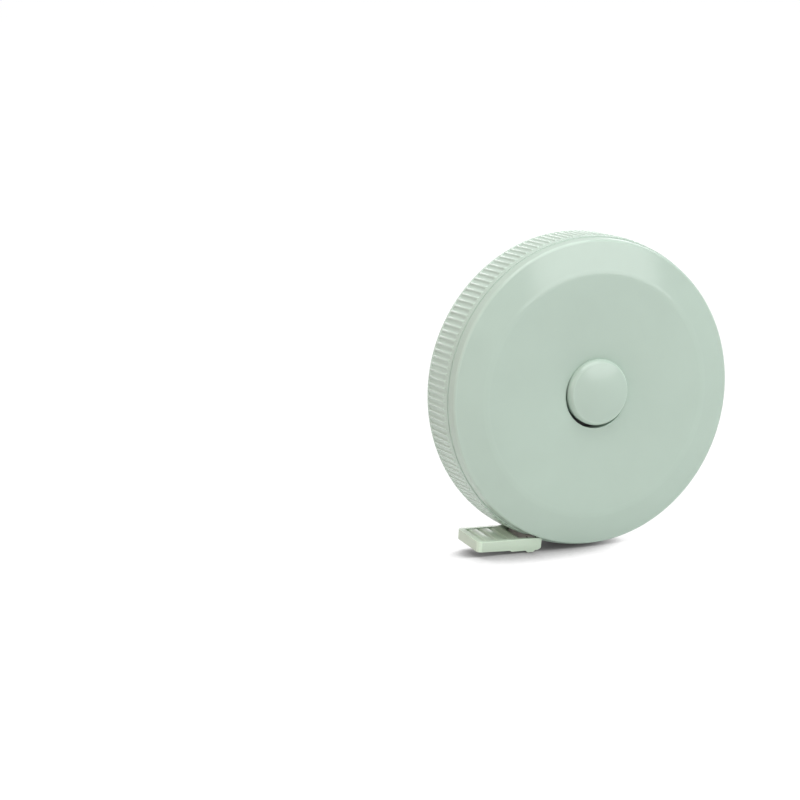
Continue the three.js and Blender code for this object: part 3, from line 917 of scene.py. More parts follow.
@dataclass
class CaseShells:
    """The two covers: bevelled faces, rounded lip, ribbed rim and the mouth for the tape."""

    path: TapePath
    tab: "PullTab"
    hole_radius: float = 5.45 * MM
    hole_edge: float = 0.08 * MM
    bevel_width: float = 5.0 * MM
    bevel_rise: float = 1.2 * MM
    face_blend: float = 0.6 * MM
    edge_reach: float = 0.35 * MM
    rear_edge_reach: float = 0.6 * MM
    wall: float = 1.1 * MM
    seam_line: float = 0.015 * MM
    seam_edge: float = 0.03 * MM
    seam_flare: float = 0.3 * MM
    margin_inset: float = 0.18 * MM
    band_inset: float = 0.04 * MM
    band_width: float = 0.3 * MM
    band_step: float = 0.1 * MM
    rim_wall: float = 1.4 * MM
    spigot_gap: float = 0.3 * MM
    spigot_wall: float = 1.1 * MM
    collar_wall: float = 0.8 * MM
    collar_depth: float = 0.8 * MM
    boss_radius: float = 4.0 * MM
    boss_height: float = 1.0 * MM
    rib_count: int = 144
    rib_margin: float = 1.0 * MM
    rib_end: float = 0.45 * MM
    mouth_height: float = 1.2 * MM
    mouth_side: float = 0.5 * MM
    front_steps: int = 288
    rear_crease: float = 50.0

    def __post_init__(self) -> None:
        """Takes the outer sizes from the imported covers."""
        front_low, front_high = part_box("front_cover")
        rear_low, rear_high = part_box("rear_cover")
        self.front_face = front_low.y
        self.spigot_end = front_high.y
        self.lip_radius = front_high.x
        self.rear_edge = rear_low.y
        self.crest_radius = rear_high.z
        self.margin_radius = self.crest_radius - self.margin_inset
        self.face_radius = self.lip_radius - self.bevel_width
        self.rim_inner = self.margin_radius - self.rim_wall
        self.ribs_front = self.rear_edge + self.rib_margin
        self.ribs_rear = -self.bevel_rise - self.rear_edge_reach - self.band_width

    def build(self, plastic: bpy.types.Material) -> None:
        """Builds both covers on the case.

        Args:
            plastic: finish of the covers.
        """
        front = self.front_shell().carve(self.mouth_tool(), self.tab.recess_tool())
        cover = front.publish("front_shell", plastic, Slot.CASE)
        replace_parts(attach(cover, Body.CASE.value), "front_cover")
        rear = self.rear_shell().carve(self.mouth_tool(), self.tab.recess_tool())
        cover = rear.publish("rear_shell", plastic, Slot.CASE, self.rear_crease)
        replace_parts(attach(cover, Body.CASE.value), "rear_cover")

    def front_shell(self) -> Workpiece:
        """Turns the front cover: flat, soft edge, bevel, lip, spigot and the button's collar.

        Returns:
            The cover.
        """
        slope = self.bevel_rise / self.bevel_width
        roof = self.front_face + self.wall
        seam = self.rear_edge - self.seam_line
        spigot_outer = self.rim_inner - self.spigot_gap
        spigot_inner = spigot_outer - self.spigot_wall
        collar = self.hole_radius + self.collar_wall
        corners = [
            Corner(self.hole_radius, self.front_face, self.hole_edge, 3),
            Corner(self.face_radius, self.front_face, self.face_blend, 8),
            Corner(self.lip_radius, self.front_face + self.bevel_rise, self.edge_reach, 10),
            Corner(self.lip_radius + self.seam_flare, seam, self.seam_edge, 3),
            Corner(spigot_outer, seam),
            Corner(spigot_outer, self.spigot_end),
            Corner(spigot_inner, self.spigot_end),
            Corner(spigot_inner, roof + slope * (spigot_inner - self.face_radius)),
            Corner(self.face_radius, roof),
            Corner(collar, roof),
            Corner(collar, roof + self.collar_depth),
            Corner(self.hole_radius, roof + self.collar_depth),
        ]
        return Workpiece().draw(corners, True).spin(self.front_steps)

    def rear_profile(self) -> list[Corner]:
        """Draws the rear cover's section from the middle of its back, round the rim, to its boss.

        Returns:
            The section's corners.
        """
        slope = self.bevel_rise / (self.margin_radius - self.face_radius)
        band = self.crest_radius - self.band_inset
        return [
            Corner(0, 0),
            Corner(self.face_radius, 0, self.face_blend, 6),
            Corner(band, -self.bevel_rise, self.rear_edge_reach, 8),
            Corner(band, self.ribs_rear + self.band_step, self.seam_edge, 2),
            Corner(self.margin_radius, self.ribs_rear),
            *[Corner(self.margin_radius, row) for row in self.rib_rows()],
            Corner(self.margin_radius, self.rear_edge, self.seam_edge, 2),
            Corner(self.rim_inner, self.rear_edge),
            Corner(self.rim_inner, -self.wall - slope * (self.rim_inner - self.face_radius)),
            Corner(self.face_radius, -self.wall),
            Corner(self.boss_radius, -self.wall),
            Corner(self.boss_radius, -self.wall - self.boss_height),
            Corner(0, -self.wall - self.boss_height),
        ]

    def rib_rows(self) -> list[float]:
        """Gives the heights of the rows that shape the ribs, from the rear to the rounded front end."""
        return [self.ribs_front + share * self.rib_end for share in RIB_END_ROWS]

    def rib_height(self, turn: float, row: float) -> float:
        """Gives how far the ribs stand out at one place of the rim.

        Args:
            turn: place across a rib, from -0.5 to 0.5 of the pitch.
            row: height along the axis.

        Returns:
            The radius there, less that of the smooth band.
        """
        if not self.ribs_front < row < self.ribs_rear + self.band_step / 2:
            return 0.0
        share = 1 - min((row - self.ribs_front) / self.rib_end, 1)
        swell = math.sqrt(1 - share * share)
        least = abs(turn) - RIB_PLACE_ROOM
        crest = next(height for place, height in RIB_SECTION if place >= least)
        return self.margin_inset * crest * swell

    def rear_shell(self) -> Workpiece:
        """Turns one rib's share of the rear cover, raises the rib and repeats it round the axis.

        Returns:
            The cover.
        """
        work = Workpiece().draw(self.rear_profile(), False)
        mesh = work.mesh
        places = [place for place, _ in RIB_SECTION]
        columns = [-place for place in reversed(places[1:])] + places
        pitch = math.tau / self.rib_count
        edges = mesh.edges[:]
        bmesh.ops.rotate(mesh, verts=mesh.verts[:], cent=ORIGIN, matrix=turned(columns[0] * pitch))
        strip = [mesh.verts[:]]
        for before, after in zip(columns, columns[1:]):
            points, edges = work.pull(edges)
            bmesh.ops.rotate(mesh, verts=points, cent=ORIGIN, matrix=turned((after - before) * pitch))
            strip.append(points)
        for column, points in zip(columns, strip):
            for point in points:
                self.raise_rib(point, column)
        bmesh.ops.spin(
            mesh,
            geom=mesh.verts[:] + mesh.edges[:] + mesh.faces[:],
            cent=ORIGIN,
            axis=SPOOL_AXIS,
            angle=math.tau - pitch,
            steps=self.rib_count - 1,
            use_duplicate=True,
        )
        return work.close()

    def raise_rib(self, point: bmesh.types.BMVert, column: float) -> None:
        """Moves one point of the rim out to the ribs' surface.

        Args:
            point: a point of the turned sector.
            column: its place across the rib.
        """
        radius = math.hypot(point.co.x, point.co.z)
        if radius < self.rim_inner + self.rim_wall / 2:
            return
        rise = self.rib_height(column, point.co.y)
        target = max(radius, self.margin_radius + rise) if rise > 0 else radius
        point.co.x *= target / radius
        point.co.z *= target / radius

    def mouth_tool(self) -> Workpiece:
        """Makes the slot along the straight run of tape, through the rim of both covers.

        Returns:
            The shape to cut out.
        """
        spigot_inner = self.rim_inner - self.spigot_gap - self.spigot_wall
        start = self.path.run_at_radius(spigot_inner) - self.spigot_gap
        width = self.path.width + 2 * self.mouth_side
        low = (start, -width / 2, -self.mouth_height / 2)
        tool = box_between(low, (start + self.crest_radius, width / 2, self.mouth_height / 2))
        along = [edge for edge in tool.mesh.edges if edge.calc_length() > width + self.mouth_side]
        tool.round_edges(along, self.mouth_height / 4, 4)
        return tool.move(run_frame(self.path))


def turned(angle: float) -> Matrix:
    """Gives a turn about the spool's axis."""
    return Matrix.Rotation(angle, 3, "Y")


def run_frame(path: TapePath) -> Matrix:
    """Gives the frame of the straight run: X along it from the winding, Y across the tape."""
    return Matrix.Translation(path.on_run(0)) @ Matrix.Rotation(-path.run_direction, 4, "Y")


@dataclass
class PushButton:
    """The domed button and the spring that holds it out."""

    play: float = 0.12 * MM
    rise: float = 0.1 * MM
    edge: float = 0.8 * MM
    crown: float = 0.65 * MM
    dome_middle: float = 0.55
    dome_blend: float = 0.5
    edge_start: float = 0.25
    edge_blend: float = 0.9
    side_blend: float = 0.3
    skirt_depth: float = 1.0 * MM
    skirt_edge: float = 0.08 * MM
    wall: float = 1.0 * MM
    stem_radius: float = 2.0 * MM
    spigot_radius: float = 1.2 * MM
    spigot_length: float = 0.6 * MM
    bore_radius: float = 0.85 * MM
    bore_depth: float = 2.5 * MM
    steps: int = 144
    wire_radius: float = 0.2 * MM
    wire_facets: int = 10
    coil_radius: float = 2.9 * MM
    coil_turns: float = 3.5
    coil_steps: int = 168
    stroke: float = 1.5 * MM

    def __post_init__(self) -> None:
        """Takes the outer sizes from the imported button."""
        low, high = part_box("push_button")
        self.radius = (high.x - low.x) / 2 + self.play
        self.front = low.y
        self.rear = high.y
        self.centre = Vector(((low.x + high.x) / 2, 0, (low.z + high.z) / 2 + self.rise))
        self.skirt_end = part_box("front_cover")[0].y + self.skirt_depth

    def build(self, plastic: bpy.types.Material, steel: bpy.types.Material) -> None:
        """Builds the button and its spring.

        Args:
            plastic: finish of the button.
            steel: finish of the spring.
        """
        piece = self.cap().publish("button_cap", plastic, Slot.BUTTON)
        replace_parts(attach(piece, Body.BUTTON.value), "push_button")
        piece = self.spring().publish("return_spring", steel, Slot.STEEL)
        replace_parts(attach(piece, Body.CASE.value), "button_spring")
        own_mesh(piece)

    def cap(self) -> Workpiece:
        """Turns the button: dome, rounded edge, skirt, and the stem that carries the brake.

        Returns:
            The button.
        """
        shoulder = self.front + self.crown
        dome_end = self.radius - self.edge
        roof = shoulder + self.wall
        bore_end = self.rear - self.bore_depth
        blend = self.edge * self.edge_blend
        corners = [
            Corner(0, self.front),
            Corner(dome_end * self.dome_middle, self.front, dome_end * self.dome_blend, 12),
            Corner(self.radius - self.edge * self.edge_start, shoulder, blend, 10),
            Corner(self.radius, shoulder + blend, self.edge * self.side_blend, 3),
            Corner(self.radius, self.skirt_end, self.skirt_edge, 2),
            Corner(self.radius - self.wall, self.skirt_end),
            Corner(self.radius - self.wall, roof),
            Corner(self.stem_radius, roof),
            Corner(self.stem_radius, self.rear - self.spigot_length),
            Corner(self.spigot_radius, self.rear - self.spigot_length),
            Corner(self.spigot_radius, self.rear),
            Corner(self.bore_radius, self.rear),
            Corner(self.bore_radius, bore_end),
            Corner(0, bore_end),
        ]
        work = Workpiece().draw(corners, False).spin(self.steps)
        return work.move(Matrix.Translation(self.centre))

    def spring(self) -> Workpiece:
        """Winds the spring's wire with one long spin.

        Returns:
            The spring.
        """
        low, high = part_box("button_spring")
        rise = high.y - low.y - 2 * self.wire_radius
        work = Workpiece()
        ring = bmesh.ops.create_circle(
            work.mesh, segments=self.wire_facets, radius=self.wire_radius
        )
        place = Matrix.Translation((self.coil_radius, low.y + self.wire_radius, 0))
        bmesh.ops.transform(work.mesh, matrix=place, verts=ring["verts"])
        bmesh.ops.spin(
            work.mesh,
            geom=work.mesh.verts[:] + work.mesh.edges[:],
            cent=ORIGIN,
            axis=SPOOL_AXIS,
            dvec=(0, rise / self.coil_steps, 0),
            angle=math.tau * self.coil_turns,
            steps=self.coil_steps,
        )
        bmesh.ops.holes_fill(work.mesh, edges=work.mesh.edges[:], sides=0)
        return work.close().move(Matrix.Translation(self.centre - Vector((0, 0, self.rise))))


@dataclass
class PullTab:
    """The grip tab at the tape's end: upper piece with teeth and rails, and the clasp below."""

    path: TapePath
    length: float = 11.1 * MM
    width: float = 7.8 * MM
    thickness: float = 1.75 * MM
    thinning: float = 0.1 * MM
    lift: float = math.radians(1.6)
    lean: float = math.radians(5.5)
    lean_line: float = 1.2 * MM
    end_reach: float = 0.1 * MM
    corner: float = 0.75 * MM
    corner_steps: int = 8
    crisp: float = math.radians(50)
    rail: float = 0.75 * MM
    rounding: float = 0.14 * MM
    cheek: float = 0.2 * MM
    teeth: int = 3
    first_tooth: float = 1.0 * MM
    pitch: float = 2.0 * MM
    tooth_depth: float = 0.7 * MM
    tooth_crest: float = 0.06 * MM
    tooth_drop: float = 0.2 * MM
    tooth_groove: float = 0.75 * MM
    tooth_land: float = 0.1 * MM
    tooth_rounding: float = 0.04 * MM
    opening_length: float = 3.7 * MM
    clasp_length: float = 5.2 * MM
    clasp_step: float = 0.2 * MM
    clasp_rise: float = 0.3 * MM
    clasp_slant: float = 0.55 * MM
    part_line: float = 0.012 * MM
    loop_room: float = 0.2 * MM
    loop_facets: int = 48
    bulge_wall: float = 0.09 * MM
    bulge_steps: int = 12
    pin_inset: float = 1.75 * MM
    pin_depth: float = 1.25 * MM
    recess_room: float = 0.3 * MM
    recess_end: float = 0.2 * MM

    def __post_init__(self) -> None:
        """Takes the tab's place from its packed pin."""
        turn = Matrix.Rotation(self.lift, 4, "Y")
        self.pin = Vector((-self.pin_inset, 0, -self.pin_depth))
        self.pocket = self.path.loop_inner + self.path.thickness + self.loop_room
        start = middle_of("tab_pin") - turn @ self.pin
        start.y = self.path.height
        self.frame = Matrix.Translation(start) @ turn
        line = self.pin - Vector((0, self.lean_line, 0))
        about_line = Matrix.Translation(line) @ Matrix.Rotation(self.lean, 4, "X")
        self.leaning = self.frame @ about_line @ Matrix.Translation(-line)

    def build(self, plastic: bpy.types.Material) -> None:
        """Builds the tab's two pieces at the tape's end.

        Args:
            plastic: finish of the tab.
        """
        piece = self.upper().publish("tab_grip", plastic, Slot.TAB)
        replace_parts(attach(piece, Body.TAPE_END.value), "tab_upper")
        piece = self.lower().publish("tab_clasp", plastic, Slot.TAB)
        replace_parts(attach(piece, Body.TAPE_END.value), "tab_lower")

    def underside(self) -> list[Corner]:
        """Gives the corners of the stepped underside at the inner end, with its bulge over the pin."""
        bottom = -self.thickness - self.clasp_step
        return [
            Corner(-self.clasp_length, bottom, self.rounding, 3),
            *self.bulge_corners(bottom, self.pocket + self.bulge_wall),
            Corner(self.end_reach - self.clasp_slant, bottom, self.rounding, 3),
            Corner(self.end_reach, bottom + self.clasp_rise, self.rounding, 3),
        ]

    def pulled_across(self, profile: Sequence[Corner], width: float) -> Workpiece:
        """Pulls a profile, drawn along the tab and in height, into a solid across the tab.

        Args:
            profile: the corners in order.
            width: the solid's width.

        Returns:
            The solid, centred across the tab.
        """
        work = Workpiece().draw(profile, True).fill().extrude(Vector((0, 0, width)))
        return work.move(Matrix.Translation((0, width / 2, 0)) @ Matrix.Rotation(math.pi / 2, 4, "X"))

    def upper(self) -> Workpiece:
        """Shapes the grip: a rounded slab with a toothed well, and room for the clasp and the loop.

        Returns:
            The grip.
        """
        profile = [
            Corner(-self.length, 0),
            Corner(-self.length, self.thinning - self.thickness),
            Corner(-self.clasp_length, -self.thickness),
            *self.underside(),
            Corner(self.end_reach, 0),
        ]
        work = self.pulled_across(profile, self.width)
        ends = [edge for edge in work.mesh.edges if self.is_end_corner(edge)]
        work.round_edges(ends, self.corner, self.corner_steps)
        work.round_edges(work.sharp_edges(self.crisp), self.rounding, 3)
        half = self.width / 2 - self.cheek
        room = box_between(
            (-self.clasp_length - self.part_line, -half, -2 * self.thickness),
            (self.width, half, -self.pin_depth),
        )
        work.carve(self.grip_tool(), self.opening_tool(), room, *self.loop_tools())
        return work.move(self.leaning)

    def is_end_corner(self, edge: bmesh.types.BMEdge) -> bool:
        """Tells whether an edge is one of the two upright corners at the tab's free end."""
        return all(point.co.x < self.pin.x - self.clasp_length for point in edge.verts) and (
            abs(edge.verts[0].co.z - edge.verts[1].co.z) > self.thickness / 2
        )

    def lower(self) -> Workpiece:
        """Shapes the clasp: a plate between the cheeks, with the round bulge over the tape's loop.

        Returns:
            The clasp.
        """
        top = -self.pin_depth - self.part_line
        profile = [Corner(-self.clasp_length, top), *self.underside(), Corner(self.end_reach, top)]
        work = self.pulled_across(profile, self.width - 2 * (self.cheek + self.part_line))
        work.carve(*self.loop_tools())
        return work.move(self.leaning)

    def bulge_corners(self, bottom: float, radius: float) -> list[Corner]:
        """Gives the corners of the clasp's bulge below its plate.

        Args:
            bottom: height of the plate's underside.
            radius: radius of the bulge about the pin.

        Returns:
            The corners, from the outer side to the inner.
        """
        start = math.acos((bottom - self.pin.z) / -radius)
        turns = [start * (2 * step / self.bulge_steps - 1) for step in range(self.bulge_steps + 1)]
        return [
            Corner(self.pin.x + radius * math.sin(turn), self.pin.z - radius * math.cos(turn))
            for turn in turns
        ]

    def grip_tool(self) -> Workpiece:
        """Makes the shape that is cut from the top: teeth whose steep sides face the case.

        Returns:
            The shape to cut out.
        """
        top = 2 * self.tooth_depth
        start = self.first_tooth - self.length
        profile = [Corner(start, top), Corner(start, 0)]
        steps = (
            (self.tooth_drop, self.tooth_depth),
            (self.tooth_groove, self.tooth_land),
            (self.pitch, self.tooth_crest),
        )
        for tooth in range(self.teeth):
            crest = start + tooth * self.pitch
            for past, depth in steps:
                profile.append(Corner(crest + past, -depth, self.tooth_rounding, 2))
        profile.append(Corner(start + self.teeth * self.pitch + self.tooth_crest, top))
        return self.pulled_across(profile, self.width - 2 * self.rail)

    def opening_tool(self) -> Workpiece:
        """Makes the opening between the rails where the tape comes down to its pin."""
        half = self.width / 2 - self.rail
        return box_between((-self.opening_length, -half, self.pin.z), (self.width, half, self.thickness))

    def loop_tools(self) -> list[Workpiece]:
        """Makes the pocket for the tape's loop and the way in for its straight run.

        Returns:
            The shapes to cut out.
        """
        room = self.path.width + 2 * self.loop_room
        rise = self.path.thickness / 2 + self.loop_room
        place = Matrix.Translation(self.pin)
        pocket = rod(self.pocket, room, self.loop_facets).move(place)
        run = self.path.loop_radius
        way = box_between((0, -room / 2, run - rise), (2 * self.clasp_length, room / 2, run + rise))
        turn = Matrix.Rotation(math.pi - self.path.run_direction - self.lift, 4, "Y")
        return [pocket, way.move(place @ turn)]

    def recess_tool(self) -> Workpiece:
        """Makes the recess in the covers' rim that the tab's inner end lies in.

        Returns:
            The shape to cut out.
        """
        half = self.width / 2 + self.recess_room
        low = (-self.length, -half, -2 * self.length)
        return box_between(low, (self.recess_end, half, self.recess_room)).move(self.frame)


@dataclass
class TapeRun:
    """The tape: its winding on the spool, and the run through the mouth with the loop at its end."""

    path: TapePath
    tab: PullTab
    slack: float = 0.05 * MM
    turn_steps: int = 72
    loop_steps: int = 24
    loop_turn: float = 300.0
    lead_steps: int = 6
    stretch_steps: int = 48
    stretch_start: float = 23.0 * MM
    stretch_short: float = 1.5 * MM

    def build(self, wound_cloth: bpy.types.Material, run_cloth: bpy.types.Material) -> None:
        """Builds the winding and the run.

        Args:
            wound_cloth: finish of the winding.
            run_cloth: the same finish for the run, whose marks keep their pitch as it pays out.
        """
        piece = self.winding().publish("tape_winding", wound_cloth, Slot.CLOTH)
        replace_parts(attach(piece, Body.SPOOL.value), "tape_coil")
        piece = self.run().publish("tape_run", run_cloth, Slot.CLOTH)
        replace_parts(piece, "tape_leader")
        start, end = (self.path.on_run(stop) for stop in self.stretch())
        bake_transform(piece)

    def chart(self, work: Workpiece, centre: Sequence[tuple[bmesh.types.BMVert, float]]) -> None:
        """Writes the tape's UV map: metres along it and across it.

        Args:
            work: the tape's mesh.
            centre: each point with its distance along the tape.
        """
        layer = work.mesh.loops.layers.uv.new("tape")
        along = {point: distance for point, distance in centre}
        for face in work.mesh.faces:
            for loop in face.loops:
                loop[layer].uv = (along[loop.vert], loop.vert.co.y - self.path.height)

    def winding(self) -> Workpiece:
        """Winds the tape on the hub, all its length in its turns.

        Returns:
            The winding.
        """
        path = self.path
        turns = (path.coil_outer - path.coil_inner) / path.thickness
        steps = round(turns * self.turn_steps)
        step = math.tau * turns / steps
        work = Workpiece()
        radius = path.coil_inner + path.thickness / 2
        section = bmesh.ops.create_grid(work.mesh, x_segments=1, y_segments=1, size=0.5)["verts"]
        shape = Matrix.Diagonal((path.thickness - 2 * self.slack, path.width, 1, 1))
        place = Matrix.Translation((radius, path.height, 0))
        turn = Matrix.Rotation(-path.run_normal - math.tau * turns, 4, "Y")
        bmesh.ops.transform(work.mesh, matrix=turn @ place @ shape, verts=section)
        marks = [(point, 0.0) for point in section]
        edges = work.mesh.edges[:]
        along = 0.0
        for _ in range(steps):
            points, edges = work.pull(edges)
            grown = radius + (path.thickness * step) / math.tau
            share = grown / radius
            bmesh.ops.rotate(work.mesh, verts=points, cent=ORIGIN, matrix=turned(step))
            bmesh.ops.scale(work.mesh, verts=points, vec=(share, 1, share))
            along += step * (radius + grown) / 2
            radius = grown
            marks.extend((point, along) for point in points)
        bmesh.ops.holes_fill(work.mesh, edges=edges, sides=0)
        bmesh.ops.recalc_face_normals(work.mesh, faces=work.mesh.faces[:])
        self.chart(work, marks)
        LOG.info("wound tape: %.3f m", along)
        return work

    def run(self) -> Workpiece:
        """Lays the tape's last stretch: straight out of the mouth, then round the tab's pin.

        Returns:
            The run.
        """
        path = self.path
        work = Workpiece()
        stops = self.run_stops()
        side = Vector((0, path.width / 2, 0))
        line = [work.mesh.verts.new(path.on_run(stop) - side) for stop in stops]
        for first, second in zip(line, line[1:]):
            work.mesh.edges.new((first, second))
        turn = math.radians(self.loop_turn)
        bmesh.ops.spin(
            work.mesh,
            geom=[line[-1]],
            cent=(path.pin.x, 0, path.pin.y),
            axis=SPOOL_AXIS,
            angle=-turn,
            steps=self.loop_steps,
        )
        work.mesh.verts.ensure_lookup_table()
        loop = work.mesh.verts[len(line):]
        arc = turn * path.loop_radius / self.loop_steps
        distances = stops + [path.run_length + arc * (step + 1) for step in range(len(loop))]
        marks = list(zip(line + loop, distances))
        far, _ = work.pull(work.mesh.edges[:])
        bmesh.ops.translate(work.mesh, verts=far, vec=(0, path.width, 0))
        near = {round_place(point): distance for point, distance in marks}
        bmesh.ops.recalc_face_normals(work.mesh, faces=work.mesh.faces[:])
        marks.extend((point, near[round_place(point)]) for point in far)
        self.chart(work, marks)
        work.mesh.normal_update()
        for point in work.mesh.verts:
            point.co += point.normal * path.thickness / 2
        bmesh.ops.solidify(work.mesh, geom=work.mesh.faces[:], thickness=path.thickness)
        for point in work.mesh.verts:
            out = point.co.y - path.height + self.tab.lean_line
            point.co.z += out * math.tan(self.tab.lean) * self.end_share(point.co)
        return work

    def stretch(self) -> tuple[float, float]:
        """Gives the distances along the run between which it pays out."""
        return self.path.run_at_radius(self.stretch_start), self.path.run_length - self.stretch_short

    def end_share(self, place: Vector) -> float:
        """Gives how far a place lies along the stretch that pays out.

        Args:
            place: a point of the tape.

        Returns:
            0 in the case, 1 at the tab, and a share between.
        """
        first, last = (self.path.on_run(stop) for stop in self.stretch())
        way = last - first
        return min(max((place - first).dot(way) / way.length_squared, 0.0), 1.0)

    def run_stops(self) -> list[float]:
        """Gives the distances along the straight run at which it has points, close where it pays out.

        Returns:
            The distances in order.
        """
        first, last = self.stretch()
        step = (last - first) / self.stretch_steps
        lead = [first * count / self.lead_steps for count in range(self.lead_steps)]
        pay = [first + step * count for count in range(self.stretch_steps + 1)]
        return lead + pay + [self.path.run_length]


def round_place(point: bmesh.types.BMVert) -> tuple[int, int]:
    """Gives a point's place seen along the spool's axis, in tenths of a micrometre."""
    return round(point.co.x * PLACES_PER_METRE), round(point.co.z * PLACES_PER_METRE)


@dataclass
class InnerWorks:
    """Spool, arbor, brake and pins inside the case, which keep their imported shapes."""

    plastic_nodes: tuple[str, ...] = ("spring_arbor", "spool_drum", "spool_lid", "brake_disc")
    steel_nodes: tuple[str, ...] = ("tape_anchor_pin", "mainspring", "button_screw", "tab_pin")
    rubber_nodes: tuple[str, ...] = ("brake_ring",)

    def dress(
        self,
        plastic: bpy.types.Material,
        steel: bpy.types.Material,
        rubber: bpy.types.Material,
    ) -> None:
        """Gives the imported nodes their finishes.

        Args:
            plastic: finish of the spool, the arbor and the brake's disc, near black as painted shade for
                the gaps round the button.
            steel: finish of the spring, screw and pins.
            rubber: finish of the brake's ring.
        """
        groups = ((self.plastic_nodes, plastic), (self.steel_nodes, steel), (self.rubber_nodes, rubber))
        for names, material in groups:
            for name in names:
                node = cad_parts[name]
                node.data.materials.clear()
                node.data.materials.append(material)
                LOG.info("%s: %s", name, material.name)


@dataclass(frozen=True)
class Softbox:
    """One flat studio lamp, placed round the object."""

    name: str
    heading: float
    rise: float
    distance: float
    width: float
    height: float
    power: float
    colour: Colour = WHITE

    def hang(self, target: Vector) -> None:
        """Hangs the lamp and points it at the object.

        Args:
            target: the point that it faces.
        """
        lamp = bpy.data.lights.new(self.name, "AREA")
        lamp.shape = "RECTANGLE"
        lamp.size = self.width
        lamp.size_y = self.height
        lamp.energy = self.power
        lamp.color = self.colour
        thing = link_object(self.name, lamp)
        way = towards(self.heading, self.rise)
        thing.location = target + way * self.distance
        thing.rotation_euler = (-way).to_track_quat("-Z", "Y").to_euler()


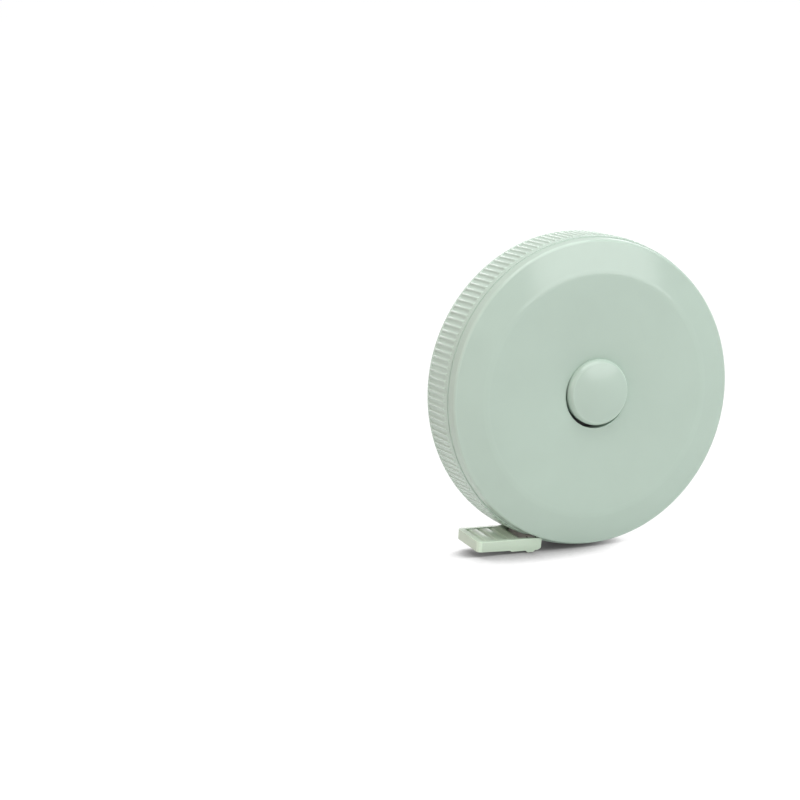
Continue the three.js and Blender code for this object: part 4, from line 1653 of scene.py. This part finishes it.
@dataclass
class Studio:
    """Floor, lamps, surroundings and camera."""

    ambient: float = 0.335
    rosy_side: Colour = (-0.95, 0.3, 0.0)
    rosy_tint: Colour = (1.0, 0.72, 0.68)
    rosy_reach: tuple[float, float] = (0.1, 0.8)
    lamps: tuple[Softbox, ...] = (
        Softbox("key_lamp", heading=29, rise=22, distance=0.7, width=0.39, height=0.5, power=1.6),
        Softbox("top_lamp", heading=0, rise=84, distance=0.8, width=0.8, height=0.8, power=6.0),
        Softbox("side_lamp", -88, 24, 0.7, width=0.4, height=0.5, power=0.95, colour=(1.0, 0.88, 0.85)),
        Softbox("back_lamp", heading=165, rise=5, distance=0.8, width=0.6, height=0.4, power=1.0),
    )
    floor_size: float = 30.0
    floor_cells: int = 4
    camera_distance: float = 0.45
    camera_yaw: float = 28.815
    camera_rise: float = 10.51
    aim_heading: float = 24.79
    aim_pitch: float = -10.653
    lens: float = 127.86
    nearest: float = 0.01
    farthest: float = 100.0

    def build(self, floor: bpy.types.Material) -> None:
        """Sets the stage up.

        Args:
            floor: finish of the table top.
        """
        low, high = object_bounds()
        middle = (Vector(low) + Vector(high)) / 2
        self.lay_floor(floor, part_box("rear_cover")[0].z)
        self.light_surroundings()
        for lamp in self.lamps:
            lamp.hang(middle)
        self.set_camera()
        bpy.context.scene.view_settings.view_transform = "Standard"

    def lay_floor(self, material: bpy.types.Material, height: float) -> None:
        """Lays the table top.

        Args:
            material: its finish.
            height: the level that the object stands on.
        """
        work = Workpiece()
        cells = self.floor_cells
        bmesh.ops.create_grid(work.mesh, x_segments=cells, y_segments=cells, size=self.floor_size / 2)
        work.move(Matrix.Translation((0, 0, height)))
        data = bpy.data.meshes.new("table_top")
        work.mesh.to_mesh(data)
        work.mesh.free()
        data.materials.append(material)
        link_object("table_top", data)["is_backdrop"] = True

    def light_surroundings(self) -> None:
        """Makes the world a white room whose light is even, and a little rosy on the left."""
        world = bpy.data.worlds.new("white_room")
        world.use_nodes = True
        bpy.context.scene.world = world
        nodes = Nodes(world.node_tree)
        where = nodes.add("ShaderNodeTexCoord").outputs["Generated"]
        tint = nodes.add("ShaderNodeValToRGB")
        tint.color_ramp.interpolation = "EASE"
        colours = (WHITE, self.rosy_tint)
        for stop, place, colour in zip(tint.color_ramp.elements, self.rosy_reach, colours):
            stop.position = place
            stop.color = (*colour, 1)
        nodes.join(nodes.dot(where, self.rosy_side), tint.inputs["Fac"])
        walls = nodes.tree.nodes["Background"]
        walls.inputs["Strength"].default_value = self.ambient
        nodes.join(tint.outputs["Color"], walls.inputs["Color"])
        white = nodes.add("ShaderNodeBackground")
        white.inputs["Color"].default_value = (*WHITE, 1)
        choice = nodes.add("ShaderNodeMixShader")
        nodes.join(nodes.seen_directly(), choice.inputs["Fac"])
        nodes.join(walls.outputs["Background"], choice.inputs[1])
        nodes.join(white.outputs["Background"], choice.inputs[2])
        nodes.join(choice.outputs["Shader"], nodes.tree.nodes["World Output"].inputs["Surface"])

    def set_camera(self) -> None:
        """Places the camera as the photograph's stood, with the object right of the middle."""
        way = towards(-self.camera_yaw, self.camera_rise)
        face = Vector((0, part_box("front_cover")[0].y, 0))
        camera = bpy.data.cameras.new("camera")
        camera.lens = self.lens
        camera.clip_start = self.nearest
        camera.clip_end = self.farthest
        thing = link_object("camera", camera)
        thing.location = face + way * self.camera_distance
        thing.rotation_euler = (math.radians(90 + self.aim_pitch), 0, -math.radians(self.aim_heading))
        bpy.context.scene.camera = thing


def main() -> None:
    """Builds the tape measure's pieces in order, then the studio."""
    logging.basicConfig(level=logging.INFO, format="%(name)s %(message)s")
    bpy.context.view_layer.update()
    path = TapePath()
    case_plastic = MouldedPlastic("case_plastic", CASE_GREEN, roughness=0.15).material()
    button_plastic = MouldedPlastic("button_plastic", CASE_GREEN, roughness=0.17).material()
    # the tab's rounded edges get a stronger painted highlight
    tab_plastic = MouldedPlastic("tab_plastic", TAB_GREEN, roughness=0.22, edge_highlight_gain=0.3).material()
    # inner parts near black: painted shade seen through the gaps
    inner_plastic = MouldedPlastic("inner_plastic", PAINTED_SHADE_CHARCOAL, roughness=0.4).material()
    steel = RolledSteel("rolled_steel", STEEL_GREY).material()
    rubber = MattRubber("matt_rubber", RUBBER_BLACK).material()
    tape_looks = (CLOTH_WHITE, INK_BLACK, path.width)
    run = (path.on_run(0.0), path.on_run(path.run_length))
    wound_cloth = CoatedCloth("wound_cloth", *tape_looks).material()
    run_cloth = CoatedCloth("run_cloth", *tape_looks, run=run).material()
    table_top = PaleFloor("white_table", TABLE_WHITE, seen_share=0.12, glow=0.97).material()
    tab = PullTab(path)
    CaseShells(path, tab).build(case_plastic)
    PushButton().build(button_plastic, steel)
    tab.build(tab_plastic)
    TapeRun(path, tab).build(wound_cloth, run_cloth)
    InnerWorks().dress(inner_plastic, steel, rubber)
    Studio().build(table_top)


if __name__ == "__main__":
    main()
